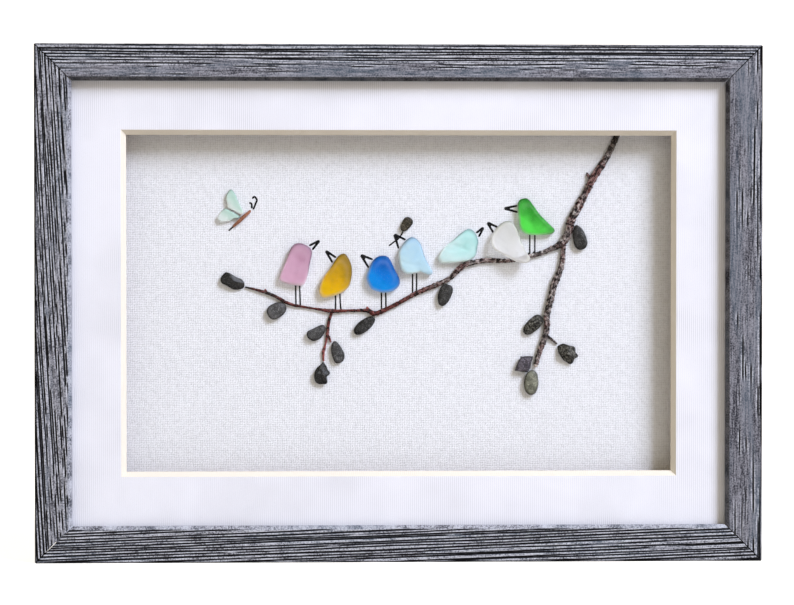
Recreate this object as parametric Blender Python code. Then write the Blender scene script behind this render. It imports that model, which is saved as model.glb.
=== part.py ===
"""Framed glass art: seven glass birds on a twig, in a deep grey shadow-box frame.

Metres, +Z up. The picture stands on the underside of its bottom rail and faces -Y. The origin is
the middle of that underside. The artwork is drawn in millimetres from the middle of the window's
top edge, x to the right and z up, because it hangs from that edge and keeps its own size.
"""

import math

import bmesh
import bpy
import numpy as np

MM = 0.001
GAP = 0.0003

# Window and mat: the window is the clear opening at the back of the bevelled mat
WINDOW_WIDTH = 0.2860
WINDOW_HEIGHT = 0.1763
MAT_THICKNESS = 0.0026
MAT_BORDER = 0.0273

# Moulding: a flat face, a sloped inner edge, and a lip in front of the rebate
RAIL_FACE = 0.0172
SLOPE_WIDTH = 0.0020
SLOPE_DEPTH = 0.0018
LIP_THICKNESS = 0.0035
WALL_THICKNESS = 0.0100
FRAME_DEPTH = 0.0300
EASED_EDGE = 0.0010
REBATE_PLAY = 0.0005

# What lies in the rebate, from the front to the back
GLAZING_THICKNESS = 0.0020
SPACER_DEPTH = 0.0100
SPACER_WIDTH = 0.0100
PANEL_THICKNESS = 0.0030
BOARD_THICKNESS = 0.0025

# Fixings on the back
TAB_WIDTH = 0.0060
TAB_THICKNESS = 0.0008
TAB_OVERHANG = 0.0110
HANGER_LENGTH = 0.0420
HANGER_HEIGHT = 0.0095
HANGER_THICKNESS = 0.0008
HANGER_STAND_OFF = 0.0014
HANGER_FOOT = 0.0075
HANGER_DROP = 0.0140
HANGER_TEETH = 11
TOOTH_HEIGHT = 0.0013

# Glass and stones
GLASS_THICKNESS = 0.0032
WING_THICKNESS = 0.0018
STONE_FLATNESS = 0.38
BIRD_SIDES = 26
WING_SIDES = 22
STONE_SIDES = 18
TWIG_SIDES = 8

# Each profile is (share of the outline's size, share of the thickness), from the back to the front
SHARD_PROFILE = ((0.80, 0.0), (0.93, 0.12), (0.99, 0.34), (1.0, 0.55), (0.97, 0.78), (0.88, 0.94))
STONE_PROFILE = ((0.58, 0.0), (0.88, 0.16), (1.0, 0.46), (0.90, 0.78), (0.60, 0.96))

# Twig: x, z and diameter in millimetres along each limb, from its thick end
STEM = (
    (116.3, 2.5, 2.9), (113.5, -4.2, 3.0), (109.4, -12.2, 3.4), (103.7, -20.6, 3.9),
    (99.4, -28.9, 3.5), (95.9, -35.8, 4.1), (91.4, -44.4, 4.2), (87.6, -55.1, 3.9),
    (78.9, -60.3, 2.5), (70.1, -63.3, 2.3), (57.9, -65.7, 2.2), (45.6, -65.6, 2.5),
    (36.6, -67.5, 2.7), (32.2, -69.8, 3.1), (27.2, -74.9, 2.4), (19.1, -78.8, 2.6),
    (9.4, -82.9, 2.3), (-1.5, -88.9, 2.1), (-10.5, -93.1, 2.4), (-13.6, -93.6, 2.8),
    (-17.2, -92.1, 1.9), (-26.4, -92.2, 1.4), (-35.4, -92.4, 2.0), (-46.4, -90.8, 1.1),
    (-57.3, -88.7, 1.6), (-66.0, -84.3, 1.6), (-73.3, -81.7, 1.5), (-81.5, -79.6, 0.8),
)
LONG_DROP = (
    (87.4, -55.6, 2.6), (86.9, -62.0, 2.6), (86.1, -69.1, 3.0), (82.4, -78.1, 3.5),
    (80.6, -85.7, 3.5), (78.5, -94.0, 3.2), (78.4, -101.5, 3.2), (76.8, -108.0, 3.0),
    (74.2, -115.0, 2.8), (72.4, -122.3, 2.3),
)
SHORT_DROP = (
    (-35.4, -92.6, 1.5), (-37.0, -98.0, 1.6), (-37.8, -104.5, 1.6), (-38.9, -110.5, 1.0),
    (-39.9, -114.0, 1.5), (-39.8, -119.2, 0.9),
)
SPURS = (
    ((77.6, -105.2, 1.7), (80.8, -107.3, 1.4), (84.1, -110.1, 1.0)),
    ((-37.7, -104.6, 1.2), (-36.6, -107.0, 1.2), (-35.9, -109.2, 0.9)),
    ((102.4, -23.4, 2.0), (100.2, -20.6, 1.5), (99.7, -18.9, 0.8)),
    ((-14.8, -93.2, 1.6), (-16.6, -90.9, 1.3), (-16.7, -89.9, 0.9)),
    ((-69.2, -83.0, 1.2), (-70.4, -81.6, 1.1), (-70.7, -80.5, 0.7)),
)

# Birds: height and middle x in millimetres, the x of the nearer foot, how far the body's lowest
# point stands above the twig there, and the outline in hundredths of the height from the foot of
# the middle line. A bird with no foot lies against the twig or over it.
BIRDS = {
    "bird_pink": {
        "height": 22.3, "middle": -54.5, "foot": -54.4, "above_twig": 9.8,
        "outline": (
            (-9, 92), (9, 100), (30, 92), (38, 79), (33, 50), (27, 19), (17, 1), (-7, 1),
            (-33, 9), (-38, 21), (-24, 57),
        ),
    },
    "bird_amber": {
        "height": 23.2, "middle": -33.5, "foot": -33.5, "above_twig": 6.2,
        "outline": (
            (20, 100), (31, 87), (37, 68), (36, 43), (29, 23), (10, 9), (-20, 0), (-33, 3),
            (-37, 20), (-27, 47), (-10, 70), (5, 93),
        ),
    },
    "bird_blue": {
        "height": 19.5, "middle": -8.4, "foot": -9.2, "above_twig": 8.6,
        "outline": (
            (0, 100), (-17, 96), (-30, 83), (-39, 62), (-45, 40), (-34, 13), (-15, 3), (5, 0),
            (28, 5), (44, 20), (44, 38), (32, 63), (16, 94),
        ),
    },
    "bird_pale_blue": {
        "height": 20.1, "middle": 8.9, "foot": 7.3, "above_twig": 9.3,
        "outline": (
            (-7, 100), (-26, 91), (-42, 67), (-45, 48), (-40, 20), (-30, 6), (-15, 3), (4, 6),
            (13, 8), (25, 3), (39, 0), (45, 8), (37, 24), (24, 49), (12, 84),
        ),
    },
    "bird_aqua": {
        "height": 18.2, "middle": 31.4, "foot": None, "above_twig": 0.0,
        "outline": (
            (32, 100), (14, 92), (-16, 67), (-44, 43), (-58, 18), (-53, 3), (-36, 0), (0, 2),
            (33, 9), (50, 22), (55, 45), (58, 66), (48, 90),
        ),
    },
    "bird_white": {
        "height": 22.6, "middle": 59.1, "foot": None, "above_twig": -3.3,
        "outline": (
            (-9, 100), (-24, 93), (-39, 76), (-46, 54), (-40, 34), (-22, 22), (5, 7), (26, 0),
            (40, 2), (45, 11), (35, 28), (24, 53), (14, 80), (3, 97),
        ),
    },
    "bird_green": {
        "height": 19.4, "middle": 72.7, "foot": 69.4, "above_twig": 10.1,
        "outline": (
            (-34, 100), (-47, 94), (-51, 78), (-48, 43), (-44, 20), (-30, 4), (-5, 0), (30, 1),
            (46, 5), (50, 15), (38, 28), (10, 56), (-10, 84), (-22, 98),
        ),
    },
}

# Butterfly: each wing's height, middle x and lowest z in millimetres, and its outline as above
WINGS = {
    "butterfly_wing_upper": {
        "height": 13.2, "middle": -86.5, "lowest": -41.4,
        "outline": (
            (-17, 100), (-35, 75), (-32, 44), (-28, 26), (-11, 18), (23, 0), (35, 9), (24, 31),
            (11, 57), (2, 80),
        ),
    },
    "butterfly_wing_lower": {
        "height": 7.1, "middle": -89.9, "lowest": -45.4,
        "outline": (
            (-48, 87), (-28, 100), (-6, 95), (20, 81), (56, 62), (82, 43), (79, 32), (39, 25),
            (11, 11), (-49, 0), (-76, 14), (-85, 34), (-70, 59),
        ),
    },
}
BUTTERFLY_BODY = ((-78.1, -39.2, 1.2), (-80.6, -41.5, 1.8), (-84.4, -45.0, 1.9), (-87.8, -48.1, 1.1))

# Stones: middle x and z, length, width (millimetres), the way the blunt end points (degrees from
# +x), how much that end is blunter, and how rough the outline is. All but one lie against the twig.
STONES = {
    "pebble_01": (-87.6, -76.9, 12.3, 6.7, 157.0, 0.22, 0.0),
    "pebble_02": (-64.3, -91.5, 10.9, 8.0, 208.0, 0.16, 0.0),
    "pebble_03": (-43.9, -103.6, 11.4, 6.7, 214.0, 0.22, 0.0),
    "pebble_04": (-33.3, -114.3, 11.9, 6.2, 287.0, 0.26, 0.0),
    "pebble_05": (-40.6, -125.1, 11.4, 8.1, 96.0, 0.05, 0.03),
    "pebble_06": (-18.0, -99.4, 13.2, 6.1, 219.0, 0.08, 0.0),
    "pebble_07": (24.1, -83.5, 12.1, 7.0, 71.0, 0.14, 0.0),
    "pebble_08": (3.9, -46.6, 8.1, 5.2, 58.0, 0.26, 0.0),
    "pebble_09": (95.1, -53.3, 13.2, 7.1, 283.0, 0.26, 0.0),
    "pebble_10": (72.2, -99.8, 12.9, 6.9, 45.0, 0.10, 0.0),
    "pebble_11": (65.9, -120.4, 12.6, 8.3, 33.0, 0.0, 0.02),
    "pebble_12": (89.8, -115.1, 12.8, 9.3, 132.0, 0.05, 0.05),
    "pebble_13": (70.0, -129.6, 13.2, 7.7, 266.0, 0.04, 0.0),
}
FREE_STONES = ("pebble_08",)
RHOMBIC_STONES = ("pebble_11",)
ROUND_POWER = 2.3
RHOMBIC_POWER = 1.6

# Worked out from the sizes above
SIGHT_WIDTH = WINDOW_WIDTH + 2 * (MAT_THICKNESS + MAT_BORDER)
SIGHT_HEIGHT = WINDOW_HEIGHT + 2 * (MAT_THICKNESS + MAT_BORDER)
FRAME_WIDTH = SIGHT_WIDTH + 2 * RAIL_FACE
FRAME_HEIGHT = SIGHT_HEIGHT + 2 * RAIL_FACE
FRONT_Y = -FRAME_DEPTH / 2
REBATE_WIDTH = FRAME_WIDTH - 2 * WALL_THICKNESS
REBATE_HEIGHT = FRAME_HEIGHT - 2 * WALL_THICKNESS
CONTENT_WIDTH = REBATE_WIDTH - 2 * REBATE_PLAY
CONTENT_HEIGHT = REBATE_HEIGHT - 2 * REBATE_PLAY
MIDDLE_Z = FRAME_HEIGHT / 2
WINDOW_TOP = MIDDLE_Z + WINDOW_HEIGHT / 2
GLAZING_Y = FRONT_Y + LIP_THICKNESS + GAP
MAT_Y = GLAZING_Y + GLAZING_THICKNESS + GAP
SPACER_Y = MAT_Y + MAT_THICKNESS + GAP
PANEL_Y = SPACER_Y + SPACER_DEPTH + GAP
BOARD_Y = PANEL_Y + PANEL_THICKNESS + GAP
BOARD_BACK_Y = BOARD_Y + BOARD_THICKNESS


def material(name, colour, roughness, metallic=0.0, transmission=0.0):
    """Return a Principled material of one plain colour."""
    made = bpy.data.materials.new(name)
    made.use_nodes = True
    shader = made.node_tree.nodes["Principled BSDF"]
    shader.inputs["Base Color"].default_value = (*colour, 1.0)
    shader.inputs["Roughness"].default_value = roughness
    shader.inputs["Metallic"].default_value = metallic
    shader.inputs["Transmission Weight"].default_value = transmission
    made.diffuse_color = (*colour, 1.0)
    return made


def add_object(name, shape, finish, location=(0.0, 0.0, 0.0), smooth_angle=None):
    """Make an object from a bmesh, with its faces out, and hang it on the picture's empty."""
    bmesh.ops.recalc_face_normals(shape, faces=shape.faces)
    mesh = bpy.data.meshes.new(name)
    shape.to_mesh(mesh)
    shape.free()
    if smooth_angle is not None:
        mesh.shade_smooth()
        mesh.set_sharp_from_angle(angle=math.radians(smooth_angle))
    made = bpy.data.objects.new(name, mesh)
    made.location = location
    made.data.materials.append(finish)
    made.parent = bpy.data.objects["picture"]
    bpy.context.scene.collection.objects.link(made)
    return made


def loft(rings, tips=(None, None)):
    """Join closed rings of points with quads. A tip closes an end with a fan, or else one face does."""
    shape = bmesh.new()
    made = [[shape.verts.new(point) for point in ring] for ring in rings]
    count = len(made[0])
    for low, high in zip(made, made[1:]):
        for index in range(count):
            after = (index + 1) % count
            shape.faces.new((low[index], low[after], high[after], high[index]))
    for ring, tip in zip((made[0], made[-1]), tips):
        if tip is None:
            shape.faces.new(ring)
            continue
        centre = shape.verts.new(tip)
        for index in range(count):
            shape.faces.new((ring[index], ring[(index + 1) % count], centre))
    return shape


def box(name, size, centre, finish):
    """Add a plain board: size and centre are (x, y, z)."""
    shape = bmesh.new()
    bmesh.ops.create_cube(shape, size=1.0)
    bmesh.ops.scale(shape, vec=size, verts=shape.verts)
    return add_object(name, shape, finish, centre)


def catmull_rom(before, start, end, after, share):
    """Return the point at this share of the span from start to end, on a curve through all four."""
    return 0.5 * (
        2 * start
        + (end - before) * share
        + (2 * before - 5 * start + 4 * end - after) * share ** 2
        + (3 * start - before - 3 * end + after) * share ** 3
    )


def smooth_loop(points, count):
    """Return count points, evenly spread along a closed smooth curve through the given ones."""
    known = np.array(points, dtype=float)
    fine = []
    for index in range(len(known)):
        four = [known[(index + step) % len(known)] for step in (-1, 0, 1, 2)]
        fine += [catmull_rom(*four, share) for share in np.linspace(0.0, 1.0, 12, endpoint=False)]
    fine = np.array(fine + [fine[0]])
    run = np.concatenate(([0.0], np.cumsum(np.linalg.norm(np.diff(fine, axis=0), axis=1))))
    wanted = np.linspace(0.0, run[-1], count, endpoint=False)
    return np.stack([np.interp(wanted, run, fine[:, axis]) for axis in (0, 1)], axis=1)


def smooth_limb(stations, per_span=2):
    """Return (x, z, diameter) stations along a smooth open curve through the given ones."""
    known = np.array(stations, dtype=float)
    padded = np.vstack((2 * known[0] - known[1], known, 2 * known[-1] - known[-2]))
    fine = []
    for index in range(len(known) - 1):
        four = padded[index:index + 4]
        fine += [catmull_rom(*four, share) for share in np.linspace(0.0, 1.0, per_span, endpoint=False)]
    return np.array(fine + [known[-1]])


def nearest_on_limbs(point, limbs):
    """Return how far a point lies outside the limbs, in millimetres, and the nearest middle point."""
    best = (math.inf, None)
    for limb in limbs:
        start, end = limb[:-1], limb[1:]
        along = end[:, :2] - start[:, :2]
        share = np.sum((point - start[:, :2]) * along, axis=1) / np.sum(along ** 2, axis=1)
        share = np.clip(share, 0.0, 1.0)[:, None]
        foot = start[:, :2] + along * share
        radius = (start[:, 2:] * (1 - share) + end[:, 2:] * share)[:, 0] / 2
        outside = np.linalg.norm(point - foot, axis=1) - radius
        index = int(np.argmin(outside))
        if outside[index] < best[0]:
            best = (outside[index], foot[index])
    return best


def seat(outline, limbs, straight_down=False):
    """Slide an outline until it lies one gap from the limbs, straight up or down or towards them."""
    moved = outline.copy()
    for _ in range(12):
        found = [nearest_on_limbs(point, limbs) for point in moved]
        nearest = min(range(len(found)), key=lambda index: found[index][0])
        outside, foot = found[nearest]
        way = moved[nearest] - foot
        if straight_down:
            way = np.array((0.0, 1.0))
        way = way / np.linalg.norm(way)
        moved = moved + way * (GAP / MM - outside)
    return moved


def is_inside(point, outline):
    """Return whether a point lies inside a closed outline: a ray to its right then crosses it an odd number of times."""
    after = np.roll(outline, -1, axis=0)
    spans = (outline[:, 1] > point[1]) != (after[:, 1] > point[1])
    start, end = outline[spans], after[spans]
    crossing = start[:, 0] + (point[1] - start[:, 1]) / (end[:, 1] - start[:, 1]) * (end[:, 0] - start[:, 0])
    return np.count_nonzero(crossing > point[0]) % 2 == 1


def room_between(first, second):
    """Return the distance between two outlines, negative where one reaches into the other."""
    rooms = []
    for outline, other in ((first, second), (second, first)):
        edge = np.column_stack((np.vstack((other, other[:1])), np.zeros(len(other) + 1)))
        for point in outline:
            distance = nearest_on_limbs(point, [edge])[0]
            rooms.append(-distance if is_inside(point, other) else distance)
    return min(rooms)


def keep_clear(outline, laid):
    """Move an outline away from those laid before it, if need be, until a gap lies between their edges."""
    moved = outline.copy()
    for _ in range(12):
        rooms = [room_between(moved, other) for other in laid]
        if not rooms or min(rooms) >= GAP / MM:
            break
        other = laid[rooms.index(min(rooms))]
        way = moved.mean(axis=0) - other.mean(axis=0)
        moved = moved + way / np.linalg.norm(way) * (GAP / MM - min(rooms) + 0.001)
    return moved


def stem_height(stem, x, side):
    """Return the stem's z at this x: its middle (side 0), upper edge (1) or lower edge (-1)."""
    left_part = stem[np.argmin(np.abs(stem[:, 0] - STEM[7][0])):][::-1]
    middle = np.interp(x, left_part[:, 0], left_part[:, 1])
    radius = np.interp(x, left_part[:, 0], left_part[:, 2]) / 2
    ahead = np.interp(x + 1.0, left_part[:, 0], left_part[:, 1])
    return middle + side * radius * math.hypot(1.0, ahead - middle)


def on_panel(x, z):
    """Return the world point on the linen, one gap in front of it, for a point of the artwork."""
    return (x * MM, PANEL_Y - GAP, WINDOW_TOP + z * MM)


def slab(name, outline, thickness, profile, finish, smooth_angle=50.0):
    """Add a piece with this outline (millimetres), lying flat on the linen with rounded edges."""
    middle = outline.mean(axis=0)
    spread = (outline - middle) * MM
    rings = []
    for size, height in profile:
        ring = spread * size
        rings.append([(x, -height * thickness, z) for x, z in ring])
    tips = (None, (0.0, -thickness, 0.0))
    return add_object(name, loft(rings, tips), finish, on_panel(*middle), smooth_angle)


def tube(name, limb, lift, finish):
    """Add a round limb that lies on the linen; lift is the height of its middle at the first station."""
    rings = []
    count = len(limb)
    for index, (x, z, diameter) in enumerate(limb):
        ahead = limb[min(index + 1, count - 1)][:2] - limb[max(index - 1, 0)][:2]
        ahead = ahead / np.linalg.norm(ahead)
        radius = diameter * MM / 2
        blend = max(0.0, 1.0 - index / 3)
        height = radius + blend * max(0.0, lift - radius)
        ring = []
        for side in range(TWIG_SIDES):
            turn = 2 * math.pi * side / TWIG_SIDES
            across = radius * math.cos(turn)
            ring.append((
                x * MM - ahead[1] * across,
                -height - radius * math.sin(turn),
                z * MM + ahead[0] * across,
            ))
        rings.append(ring)
    return add_object(name, loft(rings), finish, on_panel(0.0, 0.0), 60.0)


def rail_profile():
    """Return the moulding's section as (distance in from the outer edge, depth from the front)."""
    inner = RAIL_FACE + SLOPE_WIDTH
    return (
        (0.0, EASED_EDGE),
        (EASED_EDGE, 0.0),
        (RAIL_FACE, 0.0),
        (inner, SLOPE_DEPTH),
        (inner, LIP_THICKNESS),
        (WALL_THICKNESS, LIP_THICKNESS),
        (WALL_THICKNESS, FRAME_DEPTH),
        (0.0, FRAME_DEPTH),
    )


def build_rails(finish):
    """Add the four mitred rails: the same section run along each side, cut back half a gap at 45 degrees."""
    backed_off = GAP / math.sqrt(2)
    sides = (
        ("rail_top", FRAME_WIDTH, lambda along, inward: (along, FRAME_HEIGHT - inward)),
        ("rail_bottom", FRAME_WIDTH, lambda along, inward: (along, inward)),
        ("rail_left", FRAME_HEIGHT, lambda along, inward: (inward - FRAME_WIDTH / 2, MIDDLE_Z + along)),
        ("rail_right", FRAME_HEIGHT, lambda along, inward: (FRAME_WIDTH / 2 - inward, MIDDLE_Z + along)),
    )
    for name, length, place in sides:
        ends = []
        for end in (-1, 1):
            ring = []
            for inward, depth in rail_profile():
                x, z = place(end * (length / 2 - inward - backed_off), inward)
                ring.append((x, FRONT_Y + depth, z))
            ends.append(ring)
        add_object(name, loft(ends), finish)


def build_glazing(finish):
    """Add the clear pane behind the lip."""
    size = (CONTENT_WIDTH, GLAZING_THICKNESS, CONTENT_HEIGHT)
    box("glazing", size, (0.0, GLAZING_Y + GLAZING_THICKNESS / 2, MIDDLE_Z), finish)


def build_mat(finish):
    """Add the window mat: one board whose opening is cut at 45 degrees, so it is wider in front."""
    def corners(width, height, depth):
        return [
            (x * width / 2, MAT_Y + depth, MIDDLE_Z + z * height / 2)
            for x, z in ((-1, -1), (1, -1), (1, 1), (-1, 1))
        ]

    loops = (
        corners(CONTENT_WIDTH, CONTENT_HEIGHT, 0.0),
        corners(WINDOW_WIDTH + 2 * MAT_THICKNESS, WINDOW_HEIGHT + 2 * MAT_THICKNESS, 0.0),
        corners(WINDOW_WIDTH, WINDOW_HEIGHT, MAT_THICKNESS),
        corners(CONTENT_WIDTH, CONTENT_HEIGHT, MAT_THICKNESS),
    )
    shape = bmesh.new()
    made = [[shape.verts.new(point) for point in loop] for loop in loops]
    for loop, following in zip(made, made[1:] + made[:1]):
        for index in range(4):
            after = (index + 1) % 4
            shape.faces.new((loop[index], loop[after], following[after], following[index]))
    add_object("window_mat", shape, finish)


def build_spacers(finish):
    """Add the four strips round the rim that hold the mat clear of the linen."""
    middle_y = SPACER_Y + SPACER_DEPTH / 2
    across = (CONTENT_HEIGHT - SPACER_WIDTH) / 2
    for name, side in (("spacer_top", 1), ("spacer_bottom", -1)):
        size = (CONTENT_WIDTH, SPACER_DEPTH, SPACER_WIDTH)
        box(name, size, (0.0, middle_y, MIDDLE_Z + side * across), finish)
    upright = CONTENT_HEIGHT - 2 * (SPACER_WIDTH + GAP)
    across = (CONTENT_WIDTH - SPACER_WIDTH) / 2
    for name, side in (("spacer_left", -1), ("spacer_right", 1)):
        size = (SPACER_WIDTH, SPACER_DEPTH, upright)
        box(name, size, (side * across, middle_y, MIDDLE_Z), finish)


def build_backing(linen, board):
    """Add the linen-covered panel that carries the artwork, and the board behind it."""
    size = (CONTENT_WIDTH, PANEL_THICKNESS, CONTENT_HEIGHT)
    box("linen_panel", size, (0.0, PANEL_Y + PANEL_THICKNESS / 2, MIDDLE_Z), linen)
    size = (CONTENT_WIDTH, BOARD_THICKNESS, CONTENT_HEIGHT)
    box("back_board", size, (0.0, BOARD_Y + BOARD_THICKNESS / 2, MIDDLE_Z), board)


def build_tabs(finish):
    """Add the flat tabs that stick out of the rebate's wall and hold the board in."""
    y = BOARD_BACK_Y + GAP + TAB_THICKNESS / 2
    reach = TAB_OVERHANG / 2 + GAP
    number = 0
    for side in (-1, 1):
        for share in (-0.3, 0.3):
            number += 1
            z = MIDDLE_Z + side * (REBATE_HEIGHT / 2 - reach)
            size = (TAB_WIDTH, TAB_THICKNESS, TAB_OVERHANG)
            box(f"board_tab_{number}", size, (share * REBATE_WIDTH, y, z), finish)
        number += 1
        x = side * (REBATE_WIDTH / 2 - reach)
        size = (TAB_OVERHANG, TAB_THICKNESS, TAB_WIDTH)
        box(f"board_tab_{number}", size, (x, y, MIDDLE_Z), finish)


def build_hanger(finish):
    """Add the saw-tooth hanger: a toothed strip on two feet, on the board near the top."""
    half = HANGER_LENGTH / 2
    toothed = HANGER_LENGTH - 2 * HANGER_FOOT
    pitch = toothed / HANGER_TEETH
    lower = [(-half, 0.0), (-half + HANGER_FOOT, 0.0)]
    for index in range(HANGER_TEETH):
        start = -half + HANGER_FOOT + index * pitch
        lower.append((start + pitch / 2, TOOTH_HEIGHT))
        lower.append((start + pitch, 0.0))
    lower.append((half, 0.0))
    outline = lower + [(half, HANGER_HEIGHT), (-half, HANGER_HEIGHT)]
    rings = [
        [(x, depth, z) for x, z in outline]
        for depth in (HANGER_STAND_OFF, HANGER_STAND_OFF + HANGER_THICKNESS)
    ]
    base_z = MIDDLE_Z + CONTENT_HEIGHT / 2 - HANGER_DROP - HANGER_HEIGHT
    place = (0.0, BOARD_BACK_Y + GAP, base_z)
    hanger = add_object("hanger", loft(rings), finish, place)
    for side in (-1, 1):
        foot_size = (HANGER_FOOT, HANGER_STAND_OFF + HANGER_THICKNESS / 2, HANGER_HEIGHT)
        foot_x = side * (half - HANGER_FOOT / 2)
        centre = (foot_x, place[1] + foot_size[1] / 2, base_z + HANGER_HEIGHT / 2)
        unite(hanger, box(f"hanger_foot_guide_{side + 2}", foot_size, centre, finish))


def unite(target, guide):
    """Join a guide to the target with a live Boolean, and leave the guide itself out of the model."""
    guide.hide_render = True
    guide.display_type = "WIRE"
    union = target.modifiers.new(guide.name, "BOOLEAN")
    union.operation = "UNION"
    union.solver = "EXACT"
    union.object = guide


def build_twig(finish):
    """Add the twig with its two drops and short spurs as one piece, and return its limbs."""
    stem = smooth_limb(STEM)
    limbs = [stem]
    twig = tube("twig", stem, 0.0, finish)
    for number, stations in enumerate((LONG_DROP, SHORT_DROP, *SPURS)):
        limb = smooth_limb(stations)
        parent_radius = nearest_radius(limb[0][:2], limbs) * MM
        unite(twig, tube(f"twig_limb_guide_{number}", limb, parent_radius, finish))
        limbs.append(limb)
    return limbs


def nearest_radius(point, limbs):
    """Return the radius, in millimetres, of the limb that passes nearest to a point."""
    outside, foot = nearest_on_limbs(point, limbs)
    return float(np.linalg.norm(point - foot) - outside)


def bird_outline(bird, limbs):
    """Return a bird's outline in its place on the artwork, in millimetres."""
    stem = limbs[0]
    outline = smooth_loop(bird["outline"], BIRD_SIDES) * bird["height"] / 100
    foot = bird["foot"]
    if foot is None:
        foot = bird["middle"]
    outline = outline + (bird["middle"], stem_height(stem, foot, 1) + bird["above_twig"])
    if bird["foot"] is None and bird["above_twig"] == 0.0:
        outline = seat(outline, [stem], straight_down=True)
    return outline


def lean_over_twig(bird, outline, stem):
    """Tilt a bird that lies over the twig about its top edge, until its back clears the twig."""
    top = outline[:, 1].max()
    middle = outline.mean(axis=0)
    inside = [x for x in np.linspace(*np.percentile(outline[:, 0], (0, 100)), 40)
              if top > stem_height(stem, x, 0) > np.interp(x, *lower_edge(outline))]
    crossing = max(stem_height(stem, x, 1) for x in inside)
    thickest = 2 * max(nearest_radius(np.array((x, stem_height(stem, x, 0))), [stem]) for x in inside)
    clearance = thickest + 2 * GAP / MM
    tilt = math.asin(clearance / (top - crossing))
    above = (top - middle[1]) * MM
    bird.rotation_euler.x = -tilt
    bird.location.y -= above * math.sin(tilt)
    bird.location.z += above * (1 - math.cos(tilt))


def lower_edge(outline):
    """Return the x and z of an outline's lower side, from left to right."""
    left = int(np.argmin(outline[:, 0]))
    turned = np.roll(outline, -left, axis=0)
    right = int(np.argmax(turned[:, 0]))
    first, second = turned[:right + 1], np.vstack((turned[right:], turned[:1]))[::-1]
    lower = min((first, second), key=lambda side: side[:, 1].mean())
    order = np.argsort(lower[:, 0])
    return lower[order, 0], lower[order, 1]


def build_birds(finishes, limbs):
    """Add the seven glass birds, each kept clear of the ones laid before it."""
    laid = []
    for name, bird in BIRDS.items():
        outline = keep_clear(bird_outline(bird, limbs), laid)
        laid.append(outline)
        made = slab(name, outline, GLASS_THICKNESS, SHARD_PROFILE, finishes[name])
        if bird["above_twig"] < 0.0:
            lean_over_twig(made, outline, limbs[0])


def build_butterfly(glass, wood):
    """Add the butterfly's two glass wings and its body, a sliver of twig."""
    for name, wing in WINGS.items():
        outline = smooth_loop(wing["outline"], WING_SIDES) * wing["height"] / 100
        outline = outline + (wing["middle"], wing["lowest"])
        slab(name, outline, WING_THICKNESS, SHARD_PROFILE, glass)
    tube("butterfly_body", smooth_limb(BUTTERFLY_BODY, 3), 0.0, wood)


def stone_outline(name, stone):
    """Return a stone's outline: a rounded egg, blunter at one end, with a slow wobble where rough."""
    x, z, length, width, heading, blunt, rough = stone
    power = RHOMBIC_POWER if name in RHOMBIC_STONES else ROUND_POWER
    turn = np.linspace(0.0, 2 * math.pi, STONE_SIDES, endpoint=False)
    along = length / 2 * np.sign(np.cos(turn)) * np.abs(np.cos(turn)) ** (2 / power)
    across = width / 2 * np.sign(np.sin(turn)) * np.abs(np.sin(turn)) ** (2 / power)
    across = across * (1 + blunt * np.cos(turn))
    wobble = 1 + rough * np.sin(5 * turn + 1.0)
    cosine, sine = math.cos(math.radians(heading)), math.sin(math.radians(heading))
    turned_x = (along * cosine - across * sine) * wobble
    turned_z = (along * sine + across * cosine) * wobble
    return np.stack((x + turned_x, z + turned_z), axis=1)


def build_stones(finish, limbs):
    """Add the stones, each slid against the twig and kept clear of the ones laid before it."""
    laid = []
    for name, stone in STONES.items():
        outline = stone_outline(name, stone)
        if name not in FREE_STONES:
            outline = seat(outline, limbs)
        outline = keep_clear(outline, laid)
        laid.append(outline)
        slab(name, outline, stone[3] * MM * STONE_FLATNESS, STONE_PROFILE, finish, 70.0)


def main():
    """Clear the scene and build the picture."""
    for old in list(bpy.data.objects):
        bpy.data.objects.remove(old, do_unlink=True)
    bpy.context.scene.collection.objects.link(bpy.data.objects.new("picture", None))

    build_rails(material("grey_wood", (0.16, 0.16, 0.19), 0.62))
    build_glazing(material("clear_pane", (0.96, 0.98, 0.98), 0.03, transmission=1.0))
    build_mat(material("white_board", (0.82, 0.83, 0.90), 0.85))
    build_spacers(material("tan_card", (0.34, 0.26, 0.19), 0.85))
    build_backing(
        material("white_linen", (0.80, 0.80, 0.84), 0.92),
        material("hardboard", (0.30, 0.19, 0.11), 0.80),
    )
    steel = material("zinc_steel", (0.60, 0.61, 0.62), 0.38, metallic=1.0)
    build_tabs(steel)
    build_hanger(steel)
    limbs = build_twig(material("bark", (0.09, 0.065, 0.055), 0.85))
    tints = {
        "bird_pink": (0.55, 0.32, 0.50),
        "bird_amber": (0.60, 0.34, 0.02),
        "bird_blue": (0.01, 0.16, 0.72),
        "bird_pale_blue": (0.50, 0.70, 0.80),
        "bird_aqua": (0.50, 0.78, 0.76),
        "bird_white": (0.74, 0.76, 0.73),
        "bird_green": (0.06, 0.48, 0.06),
    }
    glasses = {
        name: material(name.replace("bird", "glass"), tint, 0.45, transmission=0.4)
        for name, tint in tints.items()
    }
    build_birds(glasses, limbs)
    build_butterfly(
        material("glass_sea_green", (0.42, 0.62, 0.52), 0.45, transmission=0.4),
        material("brown_wood", (0.28, 0.12, 0.07), 0.75),
    )
    build_stones(material("dark_stone", (0.05, 0.05, 0.05), 0.70), limbs)


main()
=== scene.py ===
"""Looks for the framed glass art, laid out as an add-on and run as a script.

Metres, +Z up; the picture faces -Y. Points of the artwork are in millimetres from the middle of the
window's top edge, x to the right and z up, as in the part's source.
"""

import math

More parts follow.
